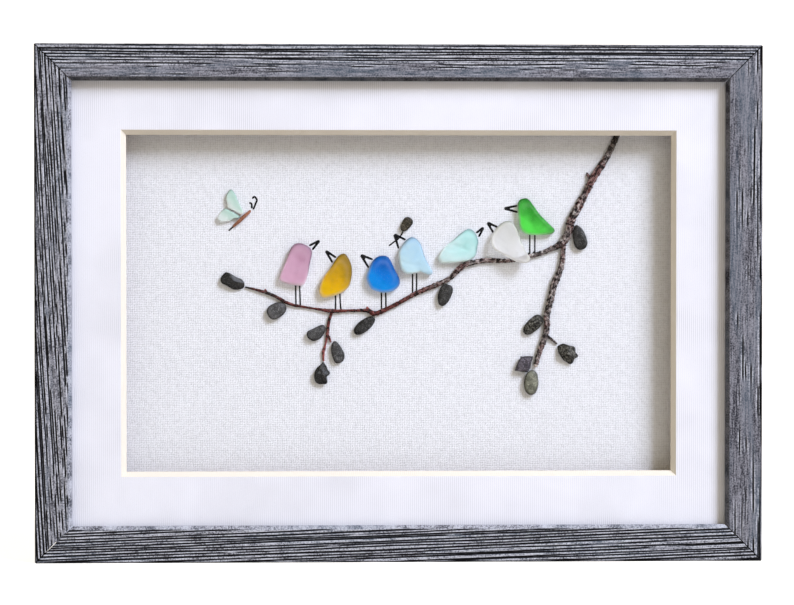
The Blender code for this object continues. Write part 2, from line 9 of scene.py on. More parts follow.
import bpy
import numpy as np
from bpy.props import FloatProperty, FloatVectorProperty, PointerProperty
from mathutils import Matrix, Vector


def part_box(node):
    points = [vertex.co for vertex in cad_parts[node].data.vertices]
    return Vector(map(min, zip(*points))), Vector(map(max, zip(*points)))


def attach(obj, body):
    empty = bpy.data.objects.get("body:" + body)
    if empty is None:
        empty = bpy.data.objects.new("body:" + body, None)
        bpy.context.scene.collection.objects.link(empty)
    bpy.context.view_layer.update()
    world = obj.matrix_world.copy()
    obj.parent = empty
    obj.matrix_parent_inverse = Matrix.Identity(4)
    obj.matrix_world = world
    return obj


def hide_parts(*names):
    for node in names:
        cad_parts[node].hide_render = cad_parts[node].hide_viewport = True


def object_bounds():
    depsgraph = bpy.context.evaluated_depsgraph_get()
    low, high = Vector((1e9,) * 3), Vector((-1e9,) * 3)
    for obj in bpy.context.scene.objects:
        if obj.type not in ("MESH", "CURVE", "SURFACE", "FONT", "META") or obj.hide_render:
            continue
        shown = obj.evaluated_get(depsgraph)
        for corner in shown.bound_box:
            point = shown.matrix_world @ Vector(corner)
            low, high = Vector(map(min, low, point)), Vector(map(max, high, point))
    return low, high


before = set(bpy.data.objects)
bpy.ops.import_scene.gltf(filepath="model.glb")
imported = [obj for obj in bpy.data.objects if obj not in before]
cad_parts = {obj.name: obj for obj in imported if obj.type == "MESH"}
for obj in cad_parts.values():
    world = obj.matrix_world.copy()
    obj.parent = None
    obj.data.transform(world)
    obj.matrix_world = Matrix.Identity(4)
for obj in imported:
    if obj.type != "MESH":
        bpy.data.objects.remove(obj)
CAD_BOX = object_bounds()

bl_info = {
    "name": "Framed glass art",
    "version": (1, 0, 0),
    "blender": (4, 5, 0),
    "location": "3D View > Sidebar > Glass art",
    "description": "A grooved grey frame, a bevelled mat, and glass birds on a twig",
    "category": "Add Mesh",
}

MM = 0.001
# Small enough to tell the mat's faces apart
HAIR = 0.00002

# Where things are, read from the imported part; the window's size is that of its opening at the back
PANEL_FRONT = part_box("linen_panel")[0].y
MAT_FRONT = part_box("window_mat")[0].y
MAT_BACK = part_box("window_mat")[1].y
MIDDLE_Z = (CAD_BOX[0].z + CAD_BOX[1].z) / 2
WINDOW_SIZE = (0.2860, 0.1763)
WINDOW_TOP = MIDDLE_Z + WINDOW_SIZE[1] / 2
MAT_BEVEL = MAT_BACK - MAT_FRONT

# Moulding: distances in from the outer edge and back from the front, how far the painted shade on the
# corner reaches, the open joint at the mitres, and the numbers of points along the section
RAIL_FACE = 0.0172
SLOPE_WIDTH = 0.0020
SLOPE_DEPTH = 0.0018
LIP_THICKNESS = 0.0035
WALL_THICKNESS = 0.0100
FRAME_DEPTH = 0.0300
EASED_EDGE = 0.0010
CORNER_SHADE_REACH = 0.0018
MITRE_GAP = 0.0005
# A last point just inside the back's outer edge keeps the shading of the back flat
BACK_INSET = 0.0004
SECTION_POINTS = {"side": 84, "edge": 8, "face": 92, "slope": 6}

# Grooves: how far a centre lies off its place and wanders (shares of the pitch), over what length it
# wanders, and where its worn lips lie and how wide they are (in half widths of the groove)
GROOVE_JITTER = 0.28
GROOVE_WANDER = 0.5
WANDER_LENGTH = 0.060
LIP_PLACE = 2.0
LIP_SPREAD = 0.9

# How far a noise shifts the linen's threads
THREAD_WOBBLE = 0.0011

# Each rail: seed of its grain, share of it that is grooved by the outer and by the inner edge, slant
# of the grooves, length of their dashes, distance between the stations along the rail, and how much
# paler (or darker, below zero) it is on its corner, by the outer edge, by the inner edge and on the
# slope. The darkening of every corner is painted shade. The slope carries painted shade on the top and
# right rails, and painted highlight on the bottom and left ones.
RAILS = {
    "rail_top": (11, 1.25, 0.10, 0.001, 0.013, 0.0014, (-0.50, -0.02, 0.04, -0.40)),
    "rail_bottom": (23, 0.95, 0.92, 0.035, 0.011, 0.0014, (-0.30, 0.05, 0.05, 0.55)),
    "rail_left": (37, 0.85, 0.62, -0.055, 0.006, 0.0010, (-0.75, -0.02, 0.40, 0.46)),
    "rail_right": (53, 0.55, 0.10, 0.001, 0.014, 0.0014, (-0.35, -0.06, -0.08, -0.30)),
}

# Shapes of the edges: (share of the outline's size, share of the thickness), from back to front
SHARD_EDGE = (
    (0.30, 0.0), (0.78, 0.0), (0.93, 0.12), (0.99, 0.34), (1.0, 0.55), (0.97, 0.78),
    (0.88, 0.94), (0.70, 0.985), (0.40, 1.0), (0.12, 1.0),
)
STONE_EDGE = (
    (0.20, 0.0), (0.56, 0.01), (0.86, 0.16), (1.0, 0.46), (0.91, 0.76), (0.64, 0.945),
    (0.34, 0.995), (0.10, 1.0),
)

# Twig: x, z and diameter in millimetres along each limb, from its thick end
STEM = (
    (116.3, 2.5, 2.9), (113.5, -4.2, 3.0), (109.4, -12.2, 3.4), (103.7, -20.6, 3.9),
    (99.4, -28.9, 3.5), (95.9, -35.8, 4.1), (91.4, -44.4, 4.2), (87.6, -55.1, 3.9),
    (78.9, -60.3, 2.5), (70.1, -63.3, 2.3), (57.9, -65.7, 2.2), (45.6, -65.6, 2.5),
    (36.6, -67.5, 2.7), (32.2, -69.8, 3.1), (27.2, -74.9, 2.4), (19.1, -78.8, 2.6),
    (9.4, -82.9, 2.3), (-1.5, -88.9, 2.1), (-10.5, -93.1, 2.4), (-13.6, -93.6, 2.8),
    (-17.2, -92.1, 1.9), (-26.4, -92.2, 1.4), (-35.4, -92.4, 2.0), (-46.4, -90.8, 1.1),
    (-57.3, -88.7, 1.6), (-66.0, -84.3, 1.6), (-73.3, -81.7, 1.5), (-81.5, -79.6, 0.8),
)
BRANCHES = (
    (
        (87.4, -55.6, 2.6), (86.9, -62.0, 2.6), (86.1, -69.1, 3.0), (82.4, -78.1, 3.5),
        (80.6, -85.7, 3.5), (78.5, -94.0, 3.2), (78.4, -101.5, 3.2), (76.8, -108.0, 3.0),
        (74.2, -115.0, 2.8), (72.4, -122.3, 2.3),
    ),
    (
        (-35.4, -92.6, 1.5), (-37.0, -98.0, 1.6), (-37.8, -104.5, 1.6), (-38.9, -110.5, 1.0),
        (-39.9, -114.0, 1.5), (-39.8, -119.2, 0.9),
    ),
    ((77.6, -105.2, 1.7), (80.8, -107.3, 1.4), (84.1, -110.1, 1.0)),
    ((-37.7, -104.6, 1.2), (-36.6, -107.0, 1.2), (-35.9, -109.2, 0.9)),
    ((102.4, -23.4, 2.0), (100.2, -20.6, 1.5), (99.7, -18.9, 0.8)),
    ((-14.8, -93.2, 1.6), (-16.6, -90.9, 1.3), (-16.7, -89.9, 0.9)),
    ((-69.2, -83.0, 1.2), (-70.4, -81.6, 1.1), (-70.7, -80.5, 0.7)),
)
# How reddish each branch is towards its thin end, and the length of its pale cut in millimetres
BRANCH_LOOKS = ((0.0, 1.6), (1.0, 0.0), (0.0, 0.0), (0.7, 0.0), (0.0, 0.0), (1.0, 0.0), (1.0, 0.0))
TWIG_FLATNESS = 0.74
# Distance between the collars in millimetres, and the texture's length once round a limb in metres
COLLAR_SPACING = 9.3
ROUND_LENGTH = 0.008
# Where the bark changes along x, in metres: where it begins to be and is fully young and red, black
# like the tip, worn, and free of the dark top; the reddish shoot's middle, and how far from it the red
# ends and how far it is full
YOUNG_BARK = (0.035, -0.005)
BLACK_TIP = (-0.058, -0.068)
WORN_BARK = (0.002, 0.035)
DARK_TOP = (0.1155, 0.1115)
SHOOT_MIDDLE = 0.1035
SHOOT_REACH = (0.0060, 0.0035)
BODY_RELIEF = 0.05
BODY_LIMB = ((-78.1, -39.2, 1.2), (-80.6, -41.5, 1.8), (-84.4, -45.0, 1.9), (-87.8, -48.1, 1.1))

# Birds and wings: height in millimetres and outline in hundredths of it. Their places are the part's.
BIRDS = {
    "pink": (22.3, (
        (-9, 92), (9, 100), (30, 92), (38, 79), (33, 50), (27, 19), (17, 1), (-7, 1),
        (-33, 9), (-38, 21), (-24, 57),
    )),
    "amber": (23.2, (
        (20, 100), (31, 87), (37, 68), (36, 43), (29, 23), (10, 9), (-20, 0), (-33, 3),
        (-37, 20), (-27, 47), (-10, 70), (5, 93),
    )),
    "blue": (19.5, (
        (0, 100), (-17, 96), (-30, 83), (-39, 62), (-45, 40), (-34, 13), (-15, 3), (5, 0),
        (28, 5), (44, 20), (44, 38), (32, 63), (16, 94),
    )),
    "pale_blue": (20.1, (
        (-7, 100), (-26, 91), (-42, 67), (-45, 48), (-40, 20), (-30, 6), (-15, 3), (4, 6),
        (13, 8), (25, 3), (39, 0), (45, 8), (37, 24), (24, 49), (12, 84),
    )),
    "aqua": (18.2, (
        (32, 100), (14, 92), (-16, 67), (-44, 43), (-58, 18), (-53, 3), (-36, 0), (0, 2),
        (33, 9), (50, 22), (55, 45), (58, 66), (48, 90),
    )),
    "white": (22.6, (
        (-9, 100), (-24, 93), (-39, 76), (-46, 54), (-40, 34), (-22, 22), (5, 7), (26, 0),
        (40, 2), (45, 11), (35, 28), (24, 53), (14, 80), (3, 97),
    )),
    "green": (19.4, (
        (-34, 100), (-47, 94), (-51, 78), (-48, 43), (-44, 20), (-30, 4), (-5, 0), (30, 1),
        (46, 5), (50, 15), (38, 28), (10, 56), (-10, 84), (-22, 98),
    )),
}
WINGS = {
    "upper": (13.2, (
        (-17, 100), (-35, 75), (-32, 44), (-28, 26), (-11, 18), (23, 0), (35, 9), (24, 31),
        (11, 57), (2, 80),
    )),
    "lower": (7.1, (
        (-48, 87), (-28, 100), (-6, 95), (20, 81), (56, 62), (82, 43), (79, 32), (39, 25),
        (11, 11), (-49, 0), (-76, 14), (-85, 34), (-70, 59),
    )),
}
GLASS_THICKNESS = 0.0032
WING_THICKNESS = 0.0018
# Unevenness of the front: wavelength and height of each bumpy field
SHARD_LUMPS = ((0.009, 0.00022), (0.0035, 0.00006))
# The way the light goes through the glass, in x and z: it comes out at the lower left. The glass's
# colours follow it: painted light where it comes out, and painted shade on the other side
LIGHT_WAY = (-0.62, -0.78)
# How much light passes straight through each colour, and how much it hides what lies behind
CLEARNESS = {"white": (0.30, 0.50), "pale_blue": (0.06, 0.90), "aqua": (0.10, 0.88)}
USUAL_CLEARNESS = (0.25, 0.86)
WING_CLEARNESS = (0.15, 0.80)
LEANING_BIRD = "white"
LEAN = math.radians(9.65)

# Stones: length, width (millimetres), the way the blunt end points (degrees from +x), how much that
# end is blunter, how rough the surface is, how steep its facets are, and the finish
STONES = {
    "01": (12.3, 6.7, 157.0, 0.22, 0.02, 0.65, "darkest"),
    "02": (10.9, 8.0, 208.0, 0.16, 0.02, 0.30, "paler_grey"),
    "03": (11.4, 6.7, 214.0, 0.22, 0.02, 0.22, "grey"),
    "04": (11.9, 6.2, 287.0, 0.26, 0.03, 0.30, "grey"),
    "05": (11.4, 8.1, 96.0, 0.05, 0.06, 0.50, "darkest"),
    "06": (13.2, 6.1, 219.0, 0.08, 0.02, 0.12, "darkest"),
    "07": (12.1, 7.0, 71.0, 0.14, 0.03, 0.25, "black"),
    "08": (8.1, 5.2, 58.0, 0.26, 0.03, 0.25, "brown"),
    "09": (13.2, 7.1, 283.0, 0.26, 0.02, 0.30, "black"),
    "10": (12.9, 6.9, 45.0, 0.10, 0.02, 0.60, "veined"),
    "11": (12.6, 8.3, 33.0, 0.0, 0.04, 0.12, "purplish"),
    "12": (12.8, 9.3, 132.0, 0.05, 0.07, 0.70, "veined"),
    "13": (13.2, 7.7, 266.0, 0.04, 0.02, 0.10, "greenish"),
}
STONE_FLATNESS = 0.38
# How strongly each finish shows cracks and veins, from 0 to 1
STONE_CRACKS = {
    "darkest": 0.5, "black": 0.35, "grey": 0.30, "paler_grey": 0.30, "veined": 1.0, "brown": 0.6,
    "purplish": 0.4, "greenish": 0.15,
}
# Unevenness of a stone: wavelength, share and first seed of each bumpy field
STONE_LUMPS = ((0.0062, 1.0, 40), (0.0024, 0.35, 80))
# Facets: the ways they face (degrees), how far these may turn, and how sharp the facets' edges are
FACET_HEADINGS = (40.0, 150.0, 265.0)
FACET_TURN = 35
FACET_SHARPNESS = 28.0
ROUND_POWER = 2.3
# Stones that are no egg: their outlines in millimetres
ODD_STONES = {
    "01": (
        (-4.5, 4.4), (-2.4, 4.4), (1.8, 2.2), (5.0, 0.7), (6.1, -1.5), (5.8, -3.3), (4.0, -4.4),
        (0.3, -4.4), (-3.4, -2.5), (-5.8, -0.9), (-6.1, 1.7),
    ),
    "03": (
        (2.6, 4.2), (4.8, 3.2), (4.2, 0.0), (1.6, -3.2), (-2.1, -4.2), (-4.8, -2.1), (-4.8, 0.5),
        (-2.6, 1.8),
    ),
    "05": (
        (-0.1, 5.7), (-3.3, 2.5), (-4.1, -1.2), (-3.3, -4.9), (-0.7, -5.7), (2.2, -4.9),
        (2.5, -2.2), (4.1, -0.1), (3.0, 2.5), (1.5, 4.6),
    ),
    "11": (
        (-4.8, -3.7), (-4.5, -2.8), (-1.7, 3.6), (-1.0, 4.2), (4.2, 3.9), (4.9, 3.4), (3.7, -1.4),
        (3.3, -2.4), (2.0, -4.2), (1.1, -4.3), (-3.9, -3.9),
    ),
    "12": (
        (-5.3, 4.0), (-3.2, 5.5), (0.0, 5.0), (3.7, 3.7), (4.2, 1.3), (5.3, -1.1), (3.7, -2.4),
        (2.6, -4.5), (1.1, -5.5), (-1.1, -4.0), (-3.2, -1.3), (-5.3, 1.3),
    ),
}

# Pen lines: points in millimetres. A beak is drawn from one end to its tip and back to the other.
BEAKS = (
    ((-47.5, -57.9), (-41.9, -55.1), (-45.8, -60.1)),
    ((-33.1, -64.2), (-38.7, -60.5), (-35.1, -66.8)),
    ((-13.7, -65.2), (-20.1, -62.7), (-15.9, -69.6)),
    ((3.7, -54.8), (-2.4, -51.8), (-0.1, -59.4)),
    ((40.9, -51.2), (44.9, -48.1), (42.3, -53.3)),
    ((52.5, -48.1), (46.9, -45.5), (50.3, -51.3)),
    ((62.9, -36.6), (55.8, -38.1), (63.1, -40.1)),
)
BEAK_FILLED = 0.45
BEAK_THINNED = 0.82
LEGS = (
    ((-54.6, -77.9), (-54.4, -88.9)), ((-52.5, -77.9), (-52.1, -89.5)),
    ((-33.5, -83.4), (-33.5, -91.9)), ((-31.2, -83.0), (-30.8, -90.5), (-30.1, -91.9)),
    ((-9.2, -81.6), (-9.2, -91.5)), ((-7.0, -81.6), (-6.8, -90.6)),
    ((7.3, -72.3), (7.3, -83.2)), ((9.4, -72.2), (9.4, -82.4)),
    ((69.4, -51.2), (69.4, -62.6)), ((72.1, -51.2), (72.1, -61.9)),
    ((69.4, -61.3), (68.3, -62.8)), ((72.1, -60.6), (71.0, -62.1)),
)
SPRIG_STEM = ((-5.3, -58.0), (-2.9, -56.1), (-0.4, -54.3), (1.1, -52.4), (2.3, -50.2))
FEELERS = (
    (
        (-77.3, -38.7), (-76.6, -38.0), (-75.6, -35.5), (-75.0, -33.9), (-75.5, -32.7),
        (-76.2, -32.0), (-77.1, -32.5), (-77.1, -33.3),
    ),
    ((-77.7, -38.3), (-77.7, -36.3), (-78.1, -35.5), (-78.7, -35.3), (-79.1, -35.6)),
)
TAIL = ((-87.2, -47.6), (-88.4, -48.6), (-90.0, -50.0))
PEN_RELIEF = 0.04

# First seeds of the random draws
SEEDS = {"stem": 3, "branches": 13, "birds": 5, "wings": 25, "body": 9, "facets": 300}

# Stage: the lamp's place from the picture's middle and its two sides, how far the camera aims off the
# middle, and the backdrop's near edge, foot, bend, height and half width
LAMP_PLACE = (2.75, -2.5, 3.1)
LAMP_SIZE = (1.6, 2.1)
AIM_SHIFT = (-0.00157, 0.0, 0.00055)
SWEEP = {"near": -9.0, "foot": 3.0, "bend": 1.2, "height": 5.0, "half_width": 5.0}


def colour(name, description, default):
    """Return a colour property."""
    return FloatVectorProperty(
        name=name, description=description, default=default, subtype="COLOR", size=3, min=0.0, max=1.0
    )


def length(name, description, default):
    """Return a length property, in metres."""
    return FloatProperty(name=name, description=description, default=default, unit="LENGTH", precision=5)


class WoodSettings(bpy.types.PropertyGroup):
    """Sizes and colours of the grooved rails."""

    groove_pitch: length("Groove pitch", "Distance from one groove to the next", 0.00150)
    groove_width: length("Groove width", "Half width of a groove", 0.00042)
    groove_depth: length("Groove depth", "Depth of the deepest groove", 0.00045)
    dark: colour("Dark grey", "Darker grain", (0.030, 0.030, 0.040))
    light: colour("Light grey", "Lighter grain", (0.29, 0.29, 0.33))
    blue: colour("Blue grey", "Patches with a blue cast", (0.065, 0.092, 0.125))
    # Pale ridges: partly wear and partly painted highlight beside the grooves; also the painted highlight
    # on lit slopes
    worn: colour("Worn ridge", "Ridges beside the grooves, brushed bare", (0.635, 0.655, 0.72))
    # Near black: the painted shade in the grooves and on the rails' shaded corners and slopes
    slot: colour("Groove", "Bottom of a groove", (0.001, 0.001, 0.002))


class BoardSettings(bpy.types.PropertyGroup):
    """Sizes and colours of the mat, the linen and the boards."""

    paper: colour("Mat", "Face of the mat", (0.86, 0.865, 0.93))
    core: colour("Core", "Bevel of the mat", (0.77, 0.715, 0.62))
    back: colour("Mat's back", "Brown back of the mat", (0.60, 0.45, 0.33))
    rib_pitch: length("Rib pitch", "Distance between the mat's fine upright ribs", 0.00105)
    linen: colour("Linen", "Threads of the linen", (0.918, 0.936, 0.982))
    thread_pitch: length("Thread pitch", "Distance between the linen's threads", 0.00092)
    card: colour("Spacers", "Tan card strips behind the mat", (0.50, 0.34, 0.22))
    board: colour("Back board", "Hardboard", (0.26, 0.165, 0.095))
    steel: colour("Steel", "Tabs and hanger", (0.56, 0.57, 0.58))


class GlassSettings(bpy.types.PropertyGroup):
    """Colours and frost of the glass."""

    # Painted light: each first colour is the glass where the light comes out at the lower left, and each
    # deep one is the painted shade on the side that faces the window. The deep colour stands for that
    # shade, not for thickness.
    pink: colour("Pink", "Pink bird, where light comes through", (0.85, 0.56, 0.72))
    pink_deep: colour("Deep pink", "Pink bird, where it is thickest", (0.70, 0.42, 0.57))
    amber: colour("Amber", "Amber bird, where light comes through", (1.0, 0.62, 0.0))
    amber_deep: colour("Deep amber", "Amber bird, where it is thickest", (0.50, 0.31, 0.020))
    blue: colour("Blue", "Blue bird, where light comes through", (0.0, 0.38, 1.0))
    blue_deep: colour("Deep blue", "Blue bird, where it is thickest", (0.0, 0.18, 0.66))
    pale_blue: colour("Pale blue", "Pale blue bird, where light comes through", (0.615, 0.83, 0.94))
    pale_blue_deep: colour("Deep pale blue", "Pale blue bird, where it is thickest", (0.51, 0.755, 0.94))
    aqua: colour("Aqua", "Aqua bird, where light comes through", (0.72, 0.972, 0.954))
    aqua_deep: colour("Deep aqua", "Aqua bird, where it is thickest", (0.535, 0.865, 0.84))
    white: colour("White", "White bird, where light comes through", (1.0, 1.0, 0.95))
    white_deep: colour("Deep white", "White bird, where it is thickest", (0.95, 0.97, 0.88))
    green: colour("Green", "Green bird, where light comes through", (0.14, 0.90, 0.12))
    green_deep: colour("Deep green", "Green bird, where it is thickest", (0.03, 0.38, 0.03))
    wings: colour("Sea green", "Butterfly's wings, where light comes through", (0.84, 0.96, 0.89))
    wings_deep: colour("Deep sea green", "Butterfly's wings, where they are thickest", (0.60, 0.825, 0.74))
    frost: FloatProperty(
        name="Frost", description="Roughness of the tumbled surface", default=0.42, subtype="FACTOR"
    )


class TwigSettings(bpy.types.PropertyGroup):
    """Colours and relief of the bark."""

    black: colour("Black bark", "Darkest bark", (0.010, 0.007, 0.007))
    red: colour("Red bark", "Reddish young bark", (0.17, 0.032, 0.026))
    pale: colour("Pale bark", "Bark that has worn to grey", (0.42, 0.35, 0.33))
    blush: colour("Blush", "Buds and shoots of the last year", (0.36, 0.10, 0.09))
    cut: colour("Cut", "Wood where a limb is cut off", (0.62, 0.54, 0.50))
    fleck: colour("Flecks", "Small pale flecks", (0.78, 0.74, 0.70))
    relief: FloatProperty(
        name="Relief", description="Roughness of the bark as a share of the radius", default=0.17
    )


class StoneSettings(bpy.types.PropertyGroup):
    """Colours of the stones."""

    darkest: colour("Darkest", "Three nearly black stones", (0.013, 0.013, 0.013))
    black: colour("Black", "Smooth black stones", (0.021, 0.021, 0.021))
    grey: colour("Grey", "Greyer stones", (0.042, 0.042, 0.043))
    paler_grey: colour("Paler grey", "Stone under the pink bird", (0.058, 0.058, 0.060))
    veined: colour("Veined", "Rough stones with pale veins", (0.026, 0.025, 0.021))
    brown: colour("Brown", "Stone of the sprig", (0.024, 0.020, 0.013))
    purplish: colour("Purplish", "Stone with a purple cast", (0.050, 0.044, 0.054))
    greenish: colour("Greenish", "Stone with a green cast", (0.112, 0.115, 0.087))


class PenSettings(bpy.types.PropertyGroup):
    """Widths and colour of the pen lines."""

    ink: colour("Ink", "Pen lines", (0.006, 0.006, 0.007))
    beak_width: length("Beak stroke", "Width of a beak's stroke at its tip", 0.00130)
    leg_width: length("Leg stroke", "Width of a leg's stroke", 0.00080)
    feeler_width: length("Feeler stroke", "Width of the butterfly's feelers", 0.00100)
    film: length("Film", "Thickness of the ink", 0.00010)


class StageSettings(bpy.types.PropertyGroup):
    """Camera, light and floor."""

    ground: colour("Floor", "Floor and backdrop", (0.54, 0.50, 0.44))
    distance: length("Camera distance", "Distance from the middle of the picture", 1.3)
    yaw: FloatProperty(
        name="Yaw", description="How far the camera looks to the right", default=math.radians(1.8),
        subtype="ANGLE",
    )
    pitch: FloatProperty(
        name="Pitch", description="How far the camera looks up", default=math.radians(-0.9),
        subtype="ANGLE",
    )
    lens: FloatProperty(name="Lens", description="Focal length in millimetres", default=113.0)
    key: FloatProperty(name="Key light", description="Strength in watts", default=334.0)
    key_tint: colour("Key tint", "Cool light of a high window", (0.775, 0.83, 1.0))
    sky: FloatProperty(name="Room light", description="Strength of the even light", default=0.50)
    sky_tint: colour("Room tint", "Warm light from the room", (1.0, 0.875, 0.63))
    glow: FloatProperty(
        name="Backdrop glow", description="Whiteness that only the camera sees", default=0.86
    )


def waves(count, spacing, step, seed):
    """Return smooth random numbers from 0 to 1: random knots every spacing, joined by half cosines."""
    knots = np.random.default_rng(seed).random(int(count * step / spacing) + 3)
    place = np.arange(count) * step / spacing
    index = place.astype(int)
    share = (1 - np.cos(np.pi * (place - index))) / 2
    return knots[index] * (1 - share) + knots[index + 1] * share


def lumps(points, wavelength, seed, count=9):
    """Return a smooth bumpy field, mostly from -1 to 1: sine waves that run in random directions."""
    rng = np.random.default_rng(seed)
    ways = rng.normal(size=(count, 3))
    ways /= np.linalg.norm(ways, axis=1)[:, None]
    ways *= 2 * np.pi / (wavelength * rng.uniform(0.7, 1.5, size=(count, 1)))
    phases = rng.uniform(0, 2 * np.pi, size=count)
    return np.sin(points @ ways.T + phases).sum(axis=-1) / math.sqrt(count)


def smooth_line(points, steps, closed=False):
    """Return a Catmull-Rom curve through the points, with this many steps from each to the next."""
    known = np.array(points, dtype=float)
    if closed:
        before, after, later = (np.roll(known, shift, axis=0) for shift in (1, -1, -2))
        start = known
    else:
        padded = np.vstack((2 * known[0] - known[1], known, 2 * known[-1] - known[-2]))
        before, start, after, later = padded[:-3], padded[1:-2], padded[2:-1], padded[3:]
    share = (np.arange(steps) / steps)[None, :, None]
    before, start, after, later = (row[:, None, :] for row in (before, start, after, later))
    curve = 0.5 * (
        2 * start + (after - before) * share
        + (2 * before - 5 * start + 4 * after - later) * share ** 2
        + (3 * start - before - 3 * after + later) * share ** 3
    )
    curve = curve.reshape(-1, known.shape[1])
    return curve if closed else np.vstack((curve, known[-1]))


def spread(line, count, closed=False):
    """Return count points evenly spaced along a line, measured over its first two columns."""
    if closed:
        line = np.vstack((line, line[:1]))
    run = np.concatenate(([0.0], np.cumsum(np.linalg.norm(np.diff(line[:, :2], axis=0), axis=1))))
    wanted = np.linspace(0.0, run[-1], count, endpoint=not closed)
    return np.stack([np.interp(wanted, run, column) for column in line.T], axis=1)


def skin(rings, coordinates=None, marks=None, ends="point"):
    """Return a closed surface through rings of points (rings, points round, 3).

    Neighbouring rings are joined by quads. Each end closes with a fan to the ring's middle ("point")
    or with one flat face ("face"). coordinates holds two texture lengths for each point, and marks
    holds named values for each point. Faces come in blocks with equally many corners, and are turned
    round if the enclosed volume comes out negative.
    """
    rows, columns = rings.shape[:2]
    index = np.arange(rows * columns).reshape(rows, columns)
    low, high = index[:-1], index[1:]
    quads = np.stack((low, np.roll(low, -1, 1), np.roll(high, -1, 1), high), axis=-1).reshape(-1, 4)
    points = rings.reshape(-1, 3)
    corner = points[quads]
    volume = np.einsum(
        "ij,ij->i", corner[:, 0] - points[0],
        np.cross(corner[:, 1] - points[0], corner[:, 2] - points[0])
        + np.cross(corner[:, 2] - points[0], corner[:, 3] - points[0]),
    ).sum()
    blocks = [quads]
    if ends == "point":
        points = np.vstack((points, rings[0].mean(axis=0), rings[-1].mean(axis=0)))
        for ring, pole, order in ((index[0], rows * columns, -1), (index[-1], rows * columns + 1, 1)):
            blocks.append(np.stack((ring, np.roll(ring, -1), np.full(columns, pole)), axis=-1)[:, ::order])
    else:
        blocks += [index[:1, ::-1], index[-1:]]
    if volume < 0:
        blocks = [block[:, ::-1] for block in blocks]

    def for_points(values):
        values = values.reshape(rows * columns, -1)
        return np.vstack((values, values[:1], values[-1:]))[:len(points)]

    return {
        "points": points,
        "faces": blocks,
        "coordinates": None if coordinates is None else for_points(coordinates),
        "marks": {name: for_points(values) for name, values in (marks or {}).items()},
    }


def link(name, data):
    """Put new data into the scene as an object."""
    made = bpy.data.objects.new(name, data)
    bpy.context.scene.collection.objects.link(made)
    return made


def add_piece(name, surfaces, finish, replaced, sharp=None):
    """Make one mesh object from closed surfaces in one finish, and let it ride on the part."""
    faces, start = [], 0
    for surface in surfaces:
        for block in surface["faces"]:
            faces += (block + start).tolist()
        start += len(surface["points"])
    mesh = bpy.data.meshes.new(name)
    mesh.from_pydata(np.vstack([surface["points"] for surface in surfaces]), [], faces)
    if surfaces[0]["coordinates"] is not None:
        corners = np.empty(len(mesh.loops), dtype=np.int32)
        mesh.loops.foreach_get("vertex_index", corners)
        laid = np.vstack([surface["coordinates"] for surface in surfaces])[corners]
        mesh.uv_layers.new(name="along").data.foreach_set("uv", laid.astype(np.float32).ravel())
    for mark in surfaces[0]["marks"]:
        values = np.vstack([surface["marks"][mark] for surface in surfaces]).astype(np.float32)
        mesh.attributes.new(mark, "FLOAT", "POINT").data.foreach_set("value", values.ravel())
    mesh.shade_smooth()
    if sharp is not None:
        mesh.set_sharp_from_angle(angle=math.radians(sharp))
    mesh.materials.append(finish)
    piece = link(name, mesh)
    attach(piece, "root")
    if replaced:
        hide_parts(*replaced)
    return piece


def dress(name, finish):
    """Give one of the part's own solids a new finish."""
    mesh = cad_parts[name].data
    mesh.materials.clear()
    mesh.materials.append(finish)


def feed(tree, socket, value):
    """Link another node's output to a socket, or set a plain value; a colour gets its alpha here."""
    if isinstance(value, bpy.types.NodeSocket):
        tree.links.new(value, socket)
    else:
        socket.default_value = (*value[:3], 1.0) if socket.type == "RGBA" else value


def node(tree, kind, inputs=None, **settings):
    """Add a shader node; each input takes a plain value or another node's output."""
    made = tree.nodes.new(kind)
    for key, value in settings.items():
        setattr(made, key, value)
    for key, value in (inputs or {}).items():
        feed(tree, made.inputs[key], value)
    return made


def maths(tree, operation, *values, clamp=False):
    """Return the result of a Math node."""
    made = node(tree, "ShaderNodeMath", dict(enumerate(values)), operation=operation, use_clamp=clamp)
    return made.outputs[0]


def vector_maths(tree, operation, inputs):
    """Return the result of a Vector Math node."""
    return node(tree, "ShaderNodeVectorMath", inputs, operation=operation).outputs[0]


def blend_colours(tree, share, first, second):
    """Return the mix of two colours."""
    inputs = {0: share, 6: first, 7: second}
    return node(tree, "ShaderNodeMix", inputs, data_type="RGBA", clamp_factor=True).outputs[2]


def remap(tree, value, low, high, to_low=0.0, to_high=1.0):
    """Return a value rescaled from one range to another, and kept inside it."""
    return node(tree, "ShaderNodeMapRange", {0: value, 1: low, 2: high, 3: to_low, 4: to_high}).outputs[0]


def noise(tree, vector, scale, detail):
    """Return a noise from 0 to 1."""
    return node(tree, "ShaderNodeTexNoise", {"Vector": vector, "Scale": scale, "Detail": detail}).outputs[0]


def streaks(tree, along, across, detail):
    """Return a noise drawn out along the mesh's own texture lengths; it has a scale for each way."""
    lengths = node(tree, "ShaderNodeUVMap", uv_map="along").outputs[0]
    drawn = node(tree, "ShaderNodeMapping", {"Vector": lengths, "Scale": (along, across, 1.0)})
    return noise(tree, drawn.outputs[0], 1.0, detail)


def stored(tree, mark):
    """Return the values that the mesh stores under this name."""
    return node(tree, "ShaderNodeAttribute", attribute_name=mark).outputs["Fac"]


def object_coordinates(tree):
    """Return the object coordinates."""
    return node(tree, "ShaderNodeTexCoord").outputs["Object"]


def tinted(colour, times, plus=0.0):
    """Return a colour with each channel multiplied by one number and raised by another."""
    return tuple(times * channel + plus for channel in colour)


def paint(tree, shader, colour):
    """Feed the shader's base colour."""
    tree.links.new(colour, shader.inputs["Base Color"])


def emboss(tree, shader, strength, depth, height):
    """Feed the shader's normal from a height."""
    bump = node(tree, "ShaderNodeBump", {"Strength": strength, "Distance": depth, "Height": height})
    tree.links.new(bump.outputs[0], shader.inputs["Normal"])


